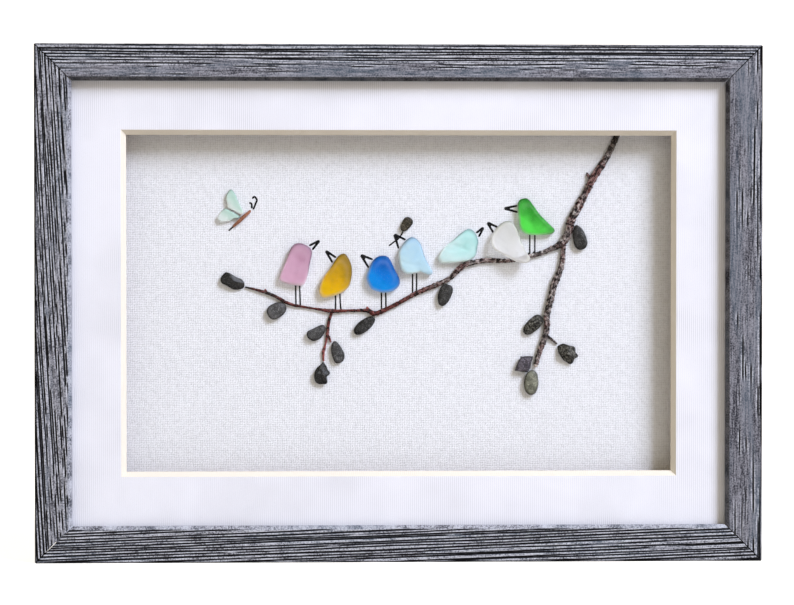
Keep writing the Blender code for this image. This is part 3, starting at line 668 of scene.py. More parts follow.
def new_finish(name, **plain):
    """Return a material, its node tree and its Principled shader with these plain values set."""
    finish = bpy.data.materials.new(name)
    finish.use_nodes = True
    tree = finish.node_tree
    shader = tree.nodes["Principled BSDF"]
    for key, value in plain.items():
        shader.inputs[key.replace("_", " ").title().replace("Ior", "IOR")].default_value = value
    return finish, tree, shader


def new_group(name, inputs, outputs):
    """Return an empty shader node group, what it is given and what it gives back, by socket name."""
    group = bpy.data.node_groups.new(name, "ShaderNodeTree")
    for label, kind, default in inputs:
        socket = group.interface.new_socket(label, in_out="INPUT", socket_type=f"NodeSocket{kind}")
        if default is not None:
            socket.default_value = default
    for label, kind in outputs:
        group.interface.new_socket(label, in_out="OUTPUT", socket_type=f"NodeSocket{kind}")
    return group, group.nodes.new("NodeGroupInput").outputs, group.nodes.new("NodeGroupOutput").inputs


def mottle_group():
    """Return the group that mottles two colours by a noise, and gives the mask too."""
    if "mottle" in bpy.data.node_groups:
        return bpy.data.node_groups["mottle"]
    group, given, result = new_group(
        "mottle",
        (
            ("Vector", "Vector", None), ("Scale", "Float", 100.0), ("Low", "Float", 0.4),
            ("High", "Float", 0.6), ("First", "Color", None), ("Second", "Color", None),
        ),
        (("Colour", "Color"), ("Mask", "Float")),
    )
    mask = remap(group, noise(group, given["Vector"], given["Scale"], 4.0), given["Low"], given["High"])
    group.links.new(blend_colours(group, mask, given["First"], given["Second"]), result["Colour"])
    group.links.new(mask, result["Mask"])
    return group


def mottle(tree, vector, scale, low, high, first, second):
    """Place the mottle group; return its colour and its mask."""
    made = node(
        tree, "ShaderNodeGroup",
        {"Vector": vector, "Scale": scale, "Low": low, "High": high, "First": first, "Second": second},
        node_tree=mottle_group(),
    )
    return made.outputs["Colour"], made.outputs["Mask"]


def relief_group():
    """Return the group that gives a fine relief as a normal: a noise used as a height."""
    if "fine_relief" in bpy.data.node_groups:
        return bpy.data.node_groups["fine_relief"]
    group, given, result = new_group(
        "fine_relief",
        (
            ("Vector", "Vector", None), ("Scale", "Float", 1000.0), ("Strength", "Float", 0.5),
            ("Depth", "Float", 0.0001),
        ),
        (("Normal", "Vector"),),
    )
    height = noise(group, given["Vector"], given["Scale"], 3.0)
    inputs = {"Strength": given["Strength"], "Distance": given["Depth"], "Height": height}
    group.links.new(node(group, "ShaderNodeBump", inputs).outputs[0], result["Normal"])
    return group


def fine_relief(tree, shader, vector, scale, strength, depth):
    """Place the fine relief group and feed the shader's normal."""
    inputs = {"Vector": vector, "Scale": scale, "Strength": strength, "Depth": depth}
    made = node(tree, "ShaderNodeGroup", inputs, node_tree=relief_group())
    tree.links.new(made.outputs[0], shader.inputs["Normal"])


def mottled_finish(name, first, second, spots, relief, fibres=None, polish=None, **plain):
    """Return a finish of two colours mottled by a noise (scale, low, high), under a fine relief.

    relief is its scale, strength and depth. fibres adds a second mottling: its noise and its colour.
    polish gives the roughness where the mask is 0 and where it is 1.
    """
    finish, tree, shader = new_finish(name, **plain)
    place = object_coordinates(tree)
    tint, mask = mottle(tree, place, *spots, first, second)
    if fibres:
        tint = mottle(tree, place, *fibres[0], tint, fibres[1])[0]
    if polish:
        tree.links.new(remap(tree, mask, 0.0, 1.0, *polish), shader.inputs["Roughness"])
    paint(tree, shader, tint)
    fine_relief(tree, shader, place, *relief)
    return finish


def wood_finish(wood):
    """Grey brushed wood: streaks along the grain, blue patches, speckle, worn ridges and dark grooves.

    The grooves' near black is painted shade. The pale ridges are partly wear and partly painted highlight.
    """
    finish, tree, shader = new_finish("grey_wood", roughness=0.55, specular_ior_level=0.12)
    fine = streaks(tree, 110.0, 1300.0, 3.0)
    broad = streaks(tree, 22.0, 260.0, 2.0)
    cast = streaks(tree, 14.0, 120.0, 2.0)
    speck = noise(tree, object_coordinates(tree), 1350.0, 2.0)
    tone = maths(tree, "MULTIPLY_ADD", fine, 0.42, maths(tree, "MULTIPLY", broad, 0.22))
    tone = maths(tree, "MULTIPLY_ADD", speck, 0.36, tone)
    grey = blend_colours(tree, remap(tree, tone, 0.42, 0.58), wood.dark, wood.light)
    bluish = blend_colours(tree, remap(tree, tone, 0.38, 0.62, 0.0, 0.8), wood.blue, wood.light)
    grey = blend_colours(tree, remap(tree, cast, 0.46, 0.60, 0.0, 0.8), grey, bluish)
    # The pale worn ridges carry wear and painted highlight beside the grooves, and the lit slopes' painted
    # highlight
    patchy = remap(tree, maths(tree, "ADD", fine, speck), 0.82, 1.18, 0.05, 1.0)
    bare = maths(tree, "MULTIPLY", stored(tree, "worn"), patchy)
    grey = blend_colours(tree, bare, grey, wood.worn)
    # Painted shade: the grooves, and the rails' shaded corners and slopes, go towards the groove's near
    # black
    dark = maths(tree, "MULTIPLY", stored(tree, "groove"), 1.5, clamp=True)
    paint(tree, shader, blend_colours(tree, dark, grey, wood.slot))
    emboss(tree, shader, 0.5, 0.00008, tone)
    return finish


def rail_section():
    """Return the moulding's section as a closed line: distance in, depth, and the groove coordinate.

    The groove coordinate is the distance in from the front's outer edge, and runs on as a negative
    number down the outer side; where there are no grooves it is far away.
    """
    away = 1.0
    inner = RAIL_FACE + SLOPE_WIDTH
    side = np.linspace(FRAME_DEPTH, EASED_EDGE, SECTION_POINTS["side"])
    turn = np.linspace(0.0, np.pi / 2, SECTION_POINTS["edge"])[1:-1]
    eased_in, eased_back = EASED_EDGE * (1 - np.cos(turn)), EASED_EDGE * (1 - np.sin(turn))
    face = np.linspace(EASED_EDGE, RAIL_FACE, SECTION_POINTS["face"])
    slope = np.linspace(RAIL_FACE, inner, SECTION_POINTS["slope"])[1:]
    sloped_back = (slope - RAIL_FACE) * SLOPE_DEPTH / SLOPE_WIDTH
    return np.vstack((
        np.stack((np.zeros_like(side), side, -side), axis=1),
        np.stack((eased_in, eased_back, -EASED_EDGE * np.cos(turn)), axis=1),
        np.stack((face, np.zeros_like(face), face), axis=1),
        np.stack((slope, sloped_back, np.full_like(slope, away)), axis=1),
        (inner, LIP_THICKNESS, away), (WALL_THICKNESS, LIP_THICKNESS, away),
        (WALL_THICKNESS, FRAME_DEPTH, away), (BACK_INSET, FRAME_DEPTH, away),
    ))


def groove_field(coordinate, along, seed, outer, inner, slant, dash, wood):
    """Return how deep each point lies in a groove, and how worn it is, from 0 to 1 (stations, points).

    A groove is exp(-(distance / half width) ** 4) across the rail, and both its lips are paler by a bell
    curve a little further out: partly wear, and partly a painted highlight beside the groove. Its centre
    wanders slowly, and it comes and goes along the rail in dashes: it is there where a smooth random line
    lies above one minus the share wanted at that place.
    """
    rng = np.random.default_rng(seed)
    step = along[1] - along[0]
    margin = abs(slant) * along[-1]
    centres = np.arange(-FRAME_DEPTH - margin, RAIL_FACE + margin, wood.groove_pitch)
    centres = centres + rng.uniform(-GROOVE_JITTER, GROOVE_JITTER, len(centres)) * wood.groove_pitch
    groove = np.zeros((len(along), len(coordinate)))
    worn = np.zeros_like(groove)
    for number, centre in enumerate(centres):
        wander = waves(len(along), WANDER_LENGTH, step, seed + number) - 0.5
        wander = wander * wood.groove_pitch * GROOVE_WANDER
        middle = centre + wander + slant * along
        share = outer + (inner - outer) * np.clip(middle / RAIL_FACE, 0.0, 1.0)
        line = 0.65 * waves(len(along), dash, step, seed + 100 + number)
        line = line + 0.35 * waves(len(along), 5 * dash, step, seed + 200 + number)
        strength = np.clip((line - 0.9 * (1.0 - np.minimum(share, 1.0))) * 5.0, 0.0, 1.0)[:, None]
        width = wood.groove_width * rng.uniform(0.75, 1.1)
        away = np.abs(coordinate[None, :] - middle[:, None]) / width
        groove = np.maximum(groove, np.exp(-away ** 4) * strength)
        worn = np.maximum(worn, np.exp(-((away - LIP_PLACE) / LIP_SPREAD) ** 2) * strength)
    return groove, worn


def add_rails(wood, finish):
    """Carry the moulding's section along each side, mitred at 45 degrees and pressed in by its grooves."""
    section = rail_section()
    inward, depth, coordinate = section.T
    size = CAD_BOX[1] - CAD_BOX[0]
    outward = np.zeros((len(section), 2))
    on_side = inward < 1e-9
    on_face = (depth < 1e-9) & ~on_side
    outward[on_side] = (-1.0, 0.0)
    outward[on_face] = (0.0, -1.0)
    places = (-CORNER_SHADE_REACH, 0.0, CORNER_SHADE_REACH, RAIL_FACE, 2 * RAIL_FACE)
    for name, (seed, outer, inner, slant, dash, step, tones_and_painted_light) in RAILS.items():
        upright = name in ("rail_left", "rail_right")
        span = size.z if upright else size.x
        stations = np.linspace(-1.0, 1.0, int(span / step))
        along = stations * span / 2
        groove, worn = groove_field(coordinate, along, seed, outer, inner, slant, dash, wood)
        pressed = groove * wood.groove_depth
        # Painted shade and painted highlight: a tone below zero darkens the rail like a groove, and one
        # above zero pales it like a worn ridge. This gives the corners their painted shade, the top and
        # right slopes their painted shade, and the bottom and left slopes their painted highlight.
        tone = np.interp(coordinate, places, (0.0, *tones_and_painted_light))[None, :]
        groove, worn = np.maximum(groove, -tone), np.maximum(worn, tone)
        across = inward[None, :] - outward[None, :, 0] * pressed
        back = depth[None, :] - outward[None, :, 1] * pressed
        reach = span / 2 - inward - MITRE_GAP / math.sqrt(2)
        run = stations[:, None] * reach[None, :]
        y = CAD_BOX[0].y + back
        if upright:
            edge = CAD_BOX[0].x + across if name == "rail_left" else CAD_BOX[1].x - across
            rings = np.stack((edge, y, MIDDLE_Z + run), axis=-1)
        else:
            edge = CAD_BOX[1].z - across if name == "rail_top" else CAD_BOX[0].z + across
            rings = np.stack((run, y, edge), axis=-1)
        texture = np.stack(np.broadcast_arrays(run + seed, np.minimum(coordinate, 0.05)), axis=-1)
        surface = skin(rings, texture, {"groove": groove, "worn": worn}, ends="face")
        add_piece(f"grooved_{name}", [surface], finish, [name], sharp=35)


def pane_finish():
    """Clear glass, nearly invisible, so that daylight reaches the artwork through it."""
    finish = new_finish(
        "clear_pane", base_color=(0.97, 0.99, 0.98, 1.0), roughness=0.02, transmission_weight=1.0,
        alpha=0.05, ior=1.45,
    )[0]
    finish.surface_render_method = "BLENDED"
    return finish


def mat_finish(board):
    """White laid paper with fine upright ribs, a cream core on the bevel and a brown back."""
    finish, tree, shader = new_finish("mat_paper", roughness=0.85, specular_ior_level=0.3)
    place = object_coordinates(tree)
    axes = node(tree, "ShaderNodeSeparateXYZ", {0: place}).outputs
    wobble = noise(tree, place, 30.0, 2.0)
    turn = maths(tree, "MULTIPLY", axes["X"], 2 * math.pi / board.rib_pitch)
    turn = maths(tree, "ADD", turn, maths(tree, "MULTIPLY", wobble, 9.0))
    rib = maths(tree, "MULTIPLY_ADD", maths(tree, "SINE", turn), 0.5, 0.5)
    faint = maths(tree, "MULTIPLY", rib, remap(tree, wobble, 0.35, 0.70, 0.25, 0.9))
    paper = blend_colours(tree, faint, board.paper, tinted(board.paper, 0.73))
    sideways = maths(tree, "SUBTRACT", maths(tree, "ABSOLUTE", axes["X"]), WINDOW_SIZE[0] / 2)
    upwards = maths(tree, "ABSOLUTE", maths(tree, "SUBTRACT", axes["Z"], MIDDLE_Z))
    upwards = maths(tree, "SUBTRACT", upwards, WINDOW_SIZE[1] / 2)
    outside = maths(tree, "MAXIMUM", sideways, upwards)
    on_bevel = maths(tree, "LESS_THAN", outside, MAT_BEVEL - HAIR)
    on_back = maths(tree, "GREATER_THAN", axes["Y"], MAT_BACK - HAIR)
    paper = blend_colours(tree, on_bevel, paper, board.core)
    paint(tree, shader, blend_colours(tree, on_back, paper, board.back))
    emboss(tree, shader, 0.6, 0.00008, rib)
    return finish


def linen_finish(board):
    """Plain weave: raised threads one way where the product of two waves is high, else the other."""
    finish, tree, shader = new_finish("white_linen", roughness=0.92, sheen_weight=0.15)
    place = object_coordinates(tree)
    wobble = node(tree, "ShaderNodeTexNoise", {"Vector": place, "Scale": 260.0, "Detail": 2.0})
    moved = vector_maths(tree, "SUBTRACT", {0: wobble.outputs["Color"], 1: (0.5, 0.5, 0.5)})
    moved = vector_maths(tree, "SCALE", {0: moved, "Scale": THREAD_WOBBLE})
    moved = vector_maths(tree, "ADD", {0: place, 1: moved})
    axes = node(tree, "ShaderNodeSeparateXYZ", {0: moved}).outputs
    warp, weft = (
        maths(tree, "SINE", maths(tree, "MULTIPLY", axes[axis], math.pi / board.thread_pitch))
        for axis in "XZ"
    )
    over = remap(tree, maths(tree, "MULTIPLY", warp, weft), -0.25, 0.25)
    warp, weft = (maths(tree, "ABSOLUTE", thread) for thread in (warp, weft))
    height = node(tree, "ShaderNodeMix", {0: over, 2: warp, 3: weft}, data_type="FLOAT").outputs[0]
    slub = noise(tree, place, 620.0, 3.0)
    height = maths(tree, "ADD", height, maths(tree, "MULTIPLY", slub, 1.1))
    # Painted shade: the weave's low places, between the raised threads, are darkened
    low = maths(tree, "MULTIPLY", remap(tree, height, 0.50, 1.30, 1.0, 0.0), 0.85)
    paint(tree, shader, blend_colours(tree, low, board.linen, tinted(board.linen, 0.62)))
    emboss(tree, shader, 1.0, 0.00022, height)
    return finish


def board_finishes(board):
    """Return the finishes of the card strips, the hardboard and the steel."""
    card = mottled_finish(
        "tan_card", board.card, tinted(board.card, 0.80), (900.0, 0.35, 0.65), (1500.0, 0.4, 0.0001),
        roughness=0.85,
    )
    hard = mottled_finish(
        "hardboard", board.board, tinted(board.board, 0.72), (420.0, 0.38, 0.64),
        (1700.0, 0.5, 0.00012), fibres=((2400.0, 0.55, 0.72), (0.42, 0.30, 0.19)), roughness=0.72,
    )
    steel = mottled_finish(
        "zinc_steel", board.steel, tinted(board.steel, 0.78), (700.0, 0.35, 0.7),
        (3000.0, 0.15, 0.00005), polish=(0.28, 0.5), metallic=1.0, roughness=0.36,
    )
    return card, hard, steel


def glass_finish(name, thin, deep, frost, clear, cover):
    """Tumbled glass: frosted and slightly pitted, over tinted glass that scatters light inside.

    The linen and the twig show through by one minus cover, but not at the rim. The tint is painted light:
    it runs from deep, a painted shade on the side that faces the window, to thin, a painted glow where
    the light comes out. The rim has painted shade on the first side and a painted highlight on the other,
    and a faint painted highlight, the shine, runs inside the first.
    """
    finish, tree, shader = new_finish(
        name, roughness=frost, transmission_weight=clear, ior=1.45, subsurface_weight=0.9,
        subsurface_radius=(1.0, 1.0, 1.0), subsurface_scale=0.0010, specular_ior_level=0.14, alpha=cover,
    )
    finish.surface_render_method = "BLENDED"
    place = object_coordinates(tree)
    rim, lit, shine = (stored(tree, mark) for mark in ("rim", "lit", "shine"))
    cloud = remap(tree, noise(tree, place, 150.0, 2.0), 0.3, 0.7, -1.0, 1.0)
    # Painted light: from deep, painted shade on the window's side, to thin, where the light comes out
    share = maths(tree, "MULTIPLY_ADD", cloud, 0.14, lit)
    body = blend_colours(tree, remap(tree, share, 0.18, 0.74), deep, thin)
    # Painted highlight (glint), and the rim's painted shade on the window's side
    glint = tinted(thin, 0.55, 0.45)
    edge = blend_colours(tree, remap(tree, lit, 0.30, 0.70), tinted(deep, 0.30), glint)
    # Painted highlight: the shine inside the rim on the window's side
    body = blend_colours(tree, maths(tree, "MULTIPLY", shine, 0.28), body, glint)
    shade = blend_colours(tree, maths(tree, "MULTIPLY", rim, 0.9), body, edge)
    pits = mottle(tree, place, 1500.0, 0.60, 0.74, shade, tinted(thin, 0.6, 0.38))[0]
    paint(tree, shader, blend_colours(tree, 0.14, shade, pits))
    tree.links.new(maths(tree, "MULTIPLY_ADD", rim, 1.0 - cover, cover), shader.inputs["Alpha"])
    fine_relief(tree, shader, place, 1300.0, 0.25, 0.0001)
    return finish


def seat_outline(name, points):
    """Return the offset that puts a shape (points in x, z) where the part has this node."""
    low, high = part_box(name)
    x = (low.x + high.x) / 2 - (points[..., 0].min() + points[..., 0].max()) / 2
    z = (low.z + high.z) / 2 - (points[..., 2].min() + points[..., 2].max()) / 2
    return np.array((x, high.y - points[..., 1].max(), z))


def shard(node_name, height, outline, thickness, seed, lean=0.0):
    """Return a piece of tumbled glass: the outline shrunk and raised along the edge's profile.

    A point at profile place t is middle + size(t) * (outline - middle), raised by height(t) times
    the thickness; the front is uneven by small bumpy fields, most of all in its middle.
    """
    edge = spread(smooth_line(np.array(outline) * height / 100, 12, closed=True), 110, closed=True) * MM
    middle = edge.mean(axis=0)
    profile = smooth_line(SHARD_EDGE, 4)
    size, raised = profile[:, :1], np.clip(profile[:, 1:], 0.0, 1.0)
    flat = middle + size[..., None] * (edge - middle)
    y = np.broadcast_to(-raised * thickness, flat.shape[:2])
    rings = np.stack((flat[..., 0], y, flat[..., 1]), axis=-1)
    uneven = sum(
        lumps(rings, wavelength, seed + number) * high
        for number, (wavelength, high) in enumerate(SHARD_LUMPS)
    )
    rings[..., 1] = np.clip(y + uneven * (raised > 0.5) * raised ** 3, -thickness, 0.0)
    # Marks for the painted light: rim is the band along the edge, lit runs from 0 on the side facing the
    # window to 1 where the light comes out, and shine is a painted highlight inside the rim on the first
    # side
    rim = np.broadcast_to(np.clip((size - 0.80) / 0.17, 0.0, 1.0) ** 1.6, y.shape)
    way = np.array(LIGHT_WAY)
    lit = 0.5 + 0.5 * ((flat - middle) @ way / np.abs((edge - middle) @ way).max())
    shine = np.exp(-((size - 0.68) / 0.11) ** 2) * np.clip(1.0 - 1.6 * lit, 0.0, 1.0) * (raised > 0.9)
    if lean:
        y, z = rings[..., 1].copy(), rings[..., 2].copy()
        rings[..., 1] = y * math.cos(lean) + z * math.sin(lean)
        rings[..., 2] = z * math.cos(lean) - y * math.sin(lean)
    return skin(rings + seat_outline(node_name, rings), marks={"rim": rim, "lit": lit, "shine": shine})


def limb(stations, relief, seed, lift=0.0, flat=1.0, base=PANEL_FRONT, step=0.45, sides=22, blush=0.0,
         cut=0.0):
    """Return a limb lying on the linen: a circle carried along a smooth line.

    The radius is the line's own, times collars every few millimetres, a bumpy field and fine ridges
    that run along the limb. lift raises the thick end to the middle of the limb it grows from; flat
    squeezes the circle towards the linen. blush is how reddish the thin half is, and cut the length
    in millimetres of a pale cut at the thin end, with a black ring behind it.
    """
    line = smooth_line(stations, 10)
    run = np.linalg.norm(np.diff(line[:, :2], axis=0), axis=1).sum()
    line = spread(line, max(int(run / step), 6))
    ahead = np.gradient(line[:, :2], axis=0)
    ahead /= np.linalg.norm(ahead, axis=1)[:, None]
    x, z, radius = line[:, :1], line[:, 1:2], line[:, 2:] / 2
    share = np.linspace(0.0, 1.0, len(line))[:, None]
    distance, left = share * run, (1 - share) * run
    tip = np.sqrt(np.clip(np.minimum(share, 1 - share) * run / np.maximum(radius, 0.2), 0.0, 1.0))
    raised = np.clip(1.0 - distance / 4.0, 0.0, 1.0) * max(lift - radius[0, 0], 0.0)
    turn = 2 * np.pi * np.arange(sides) / sides + np.pi / 2
    wave = np.sin(distance * 2 * np.pi / COLLAR_SPACING + 1.7 * np.sin(distance / 7.0))
    collar = np.clip(wave - 0.93, 0.0, 1.0) / 0.07
    ridge = np.sin(5 * turn + 2.5 * np.sin(distance / 6.0) + seed)
    circle = np.stack(np.broadcast_arrays(x, radius * np.sin(turn), z + radius * np.cos(turn)), axis=-1)
    rough = lumps(circle, 1.7, seed) + 0.6 * lumps(circle, 0.8, seed + 1)
    girth = radius * tip * (1 + relief * (0.55 * rough + 0.8 * collar + 0.35 * ridge))
    across = girth * np.cos(turn)
    height = np.maximum((radius + raised) * flat + girth * np.sin(turn) * flat, 0.0)
    rings = np.stack((
        (x - ahead[:, 1:] * across) * MM,
        base - height * MM,
        WINDOW_TOP + (z + ahead[:, :1] * across) * MM,
    ), axis=-1)
    texture = np.stack(np.broadcast_arrays(distance * MM, np.arange(sides) / sides * ROUND_LENGTH), axis=-1)
    if cut:
        collar = np.maximum(collar, np.exp(-((left - cut) / 0.5) ** 2))
    marks = {
        "ring": collar,
        "blush": blush * np.clip(share * 2.5 - 0.7, 0.0, 1.0),
        "cut": np.clip((cut - left) * 4.0, 0.0, 1.0),
    }
    return skin(rings, texture, {name: np.broadcast_to(mark, across.shape) for name, mark in marks.items()})


def bark_finish(twig):
    """Dark bark: reddish where it is young, with worn grey, pale flecks and black cracks and rings."""
    finish, tree, shader = new_finish("bark", roughness=0.62, specular_ior_level=0.15)
    place = object_coordinates(tree)
    x = node(tree, "ShaderNodeSeparateXYZ", {0: place}).outputs["X"]
    patches = noise(tree, place, 110.0, 3.0)
    streak = streaks(tree, 420.0, 1500.0, 4.0)
    red = remap(tree, x, *YOUNG_BARK)
    red = maths(tree, "ADD", red, remap(tree, patches, 0.50, 0.60, 0.0, 0.7))
    red = maths(tree, "SUBTRACT", red, remap(tree, x, *BLACK_TIP), clamp=True)
    shoot = maths(tree, "ABSOLUTE", maths(tree, "SUBTRACT", x, SHOOT_MIDDLE))
    shoot = remap(tree, shoot, *SHOOT_REACH, 0.0, 0.85)
    red = maths(tree, "MAXIMUM", red, shoot)
    ruddy = maths(tree, "MULTIPLY", red, remap(tree, streak, 0.40, 0.54))
    bark = blend_colours(tree, ruddy, twig.black, twig.red)
    blush = maths(tree, "MULTIPLY", stored(tree, "blush"), remap(tree, streak, 0.36, 0.54, 0.25, 1.0))
    bark = blend_colours(tree, blush, bark, twig.blush)
    grown = remap(tree, x, *WORN_BARK, 0.10, 0.95)
    grown = maths(tree, "MULTIPLY", grown, remap(tree, x, *DARK_TOP, 0.25, 1.0))
    grown = maths(tree, "MULTIPLY", grown, maths(tree, "MULTIPLY_ADD", shoot, -0.55, 1.0))
    worn = maths(tree, "MULTIPLY", remap(tree, streak, 0.47, 0.60), grown)
    bark = blend_colours(tree, worn, bark, twig.pale)
    cracks = noise(tree, place, 560.0, 3.0)
    bark = blend_colours(tree, remap(tree, cracks, 0.47, 0.40, 0.0, 0.95), bark, twig.black)
    fleck = maths(tree, "MULTIPLY", remap(tree, cracks, 0.60, 0.70), maths(tree, "MULTIPLY", grown, 0.7))
    bark = blend_colours(tree, fleck, bark, twig.fleck)
    patches = remap(tree, patches, 0.40, 0.55, 0.2, 0.9)
    scar = maths(tree, "MULTIPLY", remap(tree, stored(tree, "ring"), 0.15, 0.75), patches)
    bark = blend_colours(tree, scar, bark, twig.black)
    paint(tree, shader, blend_colours(tree, stored(tree, "cut"), bark, twig.cut))
    emboss(tree, shader, 0.9, 0.00035, maths(tree, "MULTIPLY_ADD", cracks, 0.8, streak))
    return finish


def stone_outline(key):
    """Return a stone's outline in millimetres: its own, or a rounded egg that is blunter at one end."""
    if key in ODD_STONES:
        return smooth_line(ODD_STONES[key], 8, closed=True)
    size, width, heading, blunt = STONES[key][:4]
    turn = np.linspace(0.0, 2 * np.pi, 72, endpoint=False)
    along = size / 2 * np.sign(np.cos(turn)) * np.abs(np.cos(turn)) ** (2 / ROUND_POWER)
    across = width / 2 * np.sign(np.sin(turn)) * np.abs(np.sin(turn)) ** (2 / ROUND_POWER)
    across = across * (1 + blunt * np.cos(turn))
    cosine, sine = math.cos(math.radians(heading)), math.sin(math.radians(heading))
    return np.stack((along * cosine - across * sine, along * sine + across * cosine), axis=1)


def stone(key, number):
    """Return a stone: its outline shrunk and raised along a round profile, worn flat here and there.

    Each facet is a plane that slopes down from the stone's middle towards one direction; the surface
    is the softened lower envelope of the round profile and the planes. Every point then moves away
    from the stone's middle by a bumpy field, coarse and fine, times how rough the stone is.
    """
    _, width, _, _, rough, steep, _ = STONES[key]
    edge = spread(stone_outline(key), 72, closed=True) * MM
    thickness = width * MM * STONE_FLATNESS
    profile = smooth_line(STONE_EDGE, 4)
    size, raised = profile[:, 0], np.clip(profile[:, 1], 0.0, 1.0)
    flat = size[:, None, None] * edge[None, :, :]
    height = np.broadcast_to(raised[:, None], flat.shape[:2])
    rng = np.random.default_rng(SEEDS["facets"] + number)
    for heading in FACET_HEADINGS:
        heading = math.radians(heading + rng.uniform(-FACET_TURN, FACET_TURN))
        towards = flat @ np.array((math.cos(heading), math.sin(heading)))
        plane = 1.06 - steep * rng.uniform(0.7, 1.3) * towards / towards.max()
        height = height - np.logaddexp(0.0, (height - plane) * FACET_SHARPNESS) / FACET_SHARPNESS
    y = -np.clip(height, 0.0, 1.0) * thickness
    rings = np.stack((flat[..., 0], y, flat[..., 1]), axis=-1)
    field = sum(share * lumps(rings, wave, seed + number) for wave, share, seed in STONE_LUMPS)
    rings = rings * (1 + rough * field)[..., None]
    rings[..., 1] = np.clip(rings[..., 1], -thickness, 0.0)
    # A mark for the painted shade along the edge, where the stone turns away
    rim = np.broadcast_to(np.clip((size - 0.77) / 0.21, 0.0, 1.0)[:, None], flat.shape[:2])
    return skin(rings + seat_outline(f"pebble_{key}", rings), marks={"rim": rim})


def stone_finish(name, tint, cracked):
    """Beach stone: dull grey with paler dust in its pores, fine black cracks and a rim in painted shade."""
    finish, tree, shader = new_finish(f"stone_{name}", roughness=0.55, specular_ior_level=0.25)
    place = object_coordinates(tree)
    black, low = tinted(tint, 0.15), 0.39 + 0.11 * cracked
    body = mottle(tree, place, 330.0, 0.44, 0.62, tint, tinted(tint, 1.9, 0.008))[0]
    dust = tinted(tint, 2.4 + 4.0 * cracked, 0.03)
    dusty, mask = mottle(tree, place, 1300.0, 0.56 - 0.05 * cracked, 0.70 - 0.10 * cracked, body, dust)
    deep = mottle(tree, place, 800.0, low, low - 0.06, dusty, black)[0]
    deep = blend_colours(tree, cracked, dusty, deep)
    # Painted shade: the rim is darkened towards black
    rim = maths(tree, "MULTIPLY", stored(tree, "rim"), 0.9)
    paint(tree, shader, blend_colours(tree, rim, deep, black))
    tree.links.new(remap(tree, mask, 0.0, 1.0, 0.38, 0.62), shader.inputs["Roughness"])
    fine_relief(tree, shader, place, 900.0, 0.6, 0.0003)
    return finish


def pen_line(points, width, film, end_width=None):
    """Return one stroke of ink: a flat thread along a smooth line, from one width to another."""
    widths = np.linspace(width, end_width or width, len(points)) / MM
    stations = [(x, z, wide) for (x, z), wide in zip(points, widths)]
    return limb(stations, PEN_RELIEF, 0, flat=film / width, step=0.3, sides=8)


def beak(start, tip, end, width, film):
    """Return a beak: two strokes that thin out from its tip to the head, and one that fills the tip."""
    between = (np.array(start) + np.array(end)) / 2
    inside = tuple(np.array(tip) + (between - np.array(tip)) * BEAK_FILLED)
    sides = [pen_line((tip, foot), width, film, width * BEAK_THINNED) for foot in (start, end)]
    return [*sides, pen_line((tip, inside), width, film)]


def add_lamp(middle, watts, tint):
    """Add a rectangular lamp that faces the picture's middle, like a high window."""
    lamp = bpy.data.lights.new("window_light", "AREA")
    lamp.shape = "RECTANGLE"
    lamp.size, lamp.size_y = LAMP_SIZE
    lamp.energy = watts
    lamp.color = tint
    made = link("window_light", lamp)
    made.location = middle + Vector(LAMP_PLACE)
    made.rotation_euler = (-Vector(LAMP_PLACE)).to_track_quat("-Z", "Y").to_euler()


def add_backdrop(ground, glow):
    """Add a seamless sweep: a floor that rises behind the picture along a quarter circle.

    The profile (y, z) runs along the floor, round the arc and up the wall; it is carried along x. The
    camera alone sees it brighter, as a lit backdrop, so that it adds no light to the picture.
    """
    turn = np.linspace(0.0, np.pi / 2, 24)
    bend, foot = SWEEP["bend"], SWEEP["foot"]
    y = np.concatenate(([SWEEP["near"]], foot + bend * np.sin(turn), [foot + bend]))
    z = np.concatenate(([0.0], bend * (1 - np.cos(turn)), [SWEEP["height"]])) + CAD_BOX[0].z
    x = np.linspace(-SWEEP["half_width"], SWEEP["half_width"], 5)
    points = np.stack(np.broadcast_arrays(x[:, None], y, z), axis=-1)
    index = np.arange(len(x) * len(y)).reshape(len(x), len(y))
    quads = np.stack((index[:-1, :-1], index[1:, :-1], index[1:, 1:], index[:-1, 1:]), axis=-1)
    mesh = bpy.data.meshes.new("backdrop")
    mesh.from_pydata(points.reshape(-1, 3), [], quads.reshape(-1, 4).tolist())
    mesh.shade_smooth()
    finish, tree, shader = new_finish(
        "pale_ground", roughness=0.9, base_color=(*ground, 1.0), emission_strength=glow
    )
    seen = node(tree, "ShaderNodeLightPath").outputs["Is Camera Ray"]
    tree.links.new(seen, shader.inputs["Emission Color"])
    mesh.materials.append(finish)
    link("backdrop", mesh)


class GLASSART_OT_rails(bpy.types.Operator):
    """Add the four grooved rails"""

    bl_idname = "glass_art.rails"
    bl_label = "Grooved rails"

    def execute(self, context):
        wood = context.scene.glass_art_wood
        add_rails(wood, wood_finish(wood))
        return {"FINISHED"}


class GLASSART_OT_boards(bpy.types.Operator):
    """Dress the pane, the mat, the spacers, the linen, the back board and its fixings"""

    bl_idname = "glass_art.boards"
    bl_label = "Mat, linen and boards"

    def execute(self, context):
        board = context.scene.glass_art_board
        card, hard, steel = board_finishes(board)
        dress("glazing", pane_finish())
        dress("window_mat", mat_finish(board))
        dress("linen_panel", linen_finish(board))
        dress("back_board", hard)
        for side in ("top", "bottom", "left", "right"):
            dress(f"spacer_{side}", card)
        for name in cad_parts:
            if name.startswith("board_tab") or name == "hanger":
                dress(name, steel)
        return {"FINISHED"}


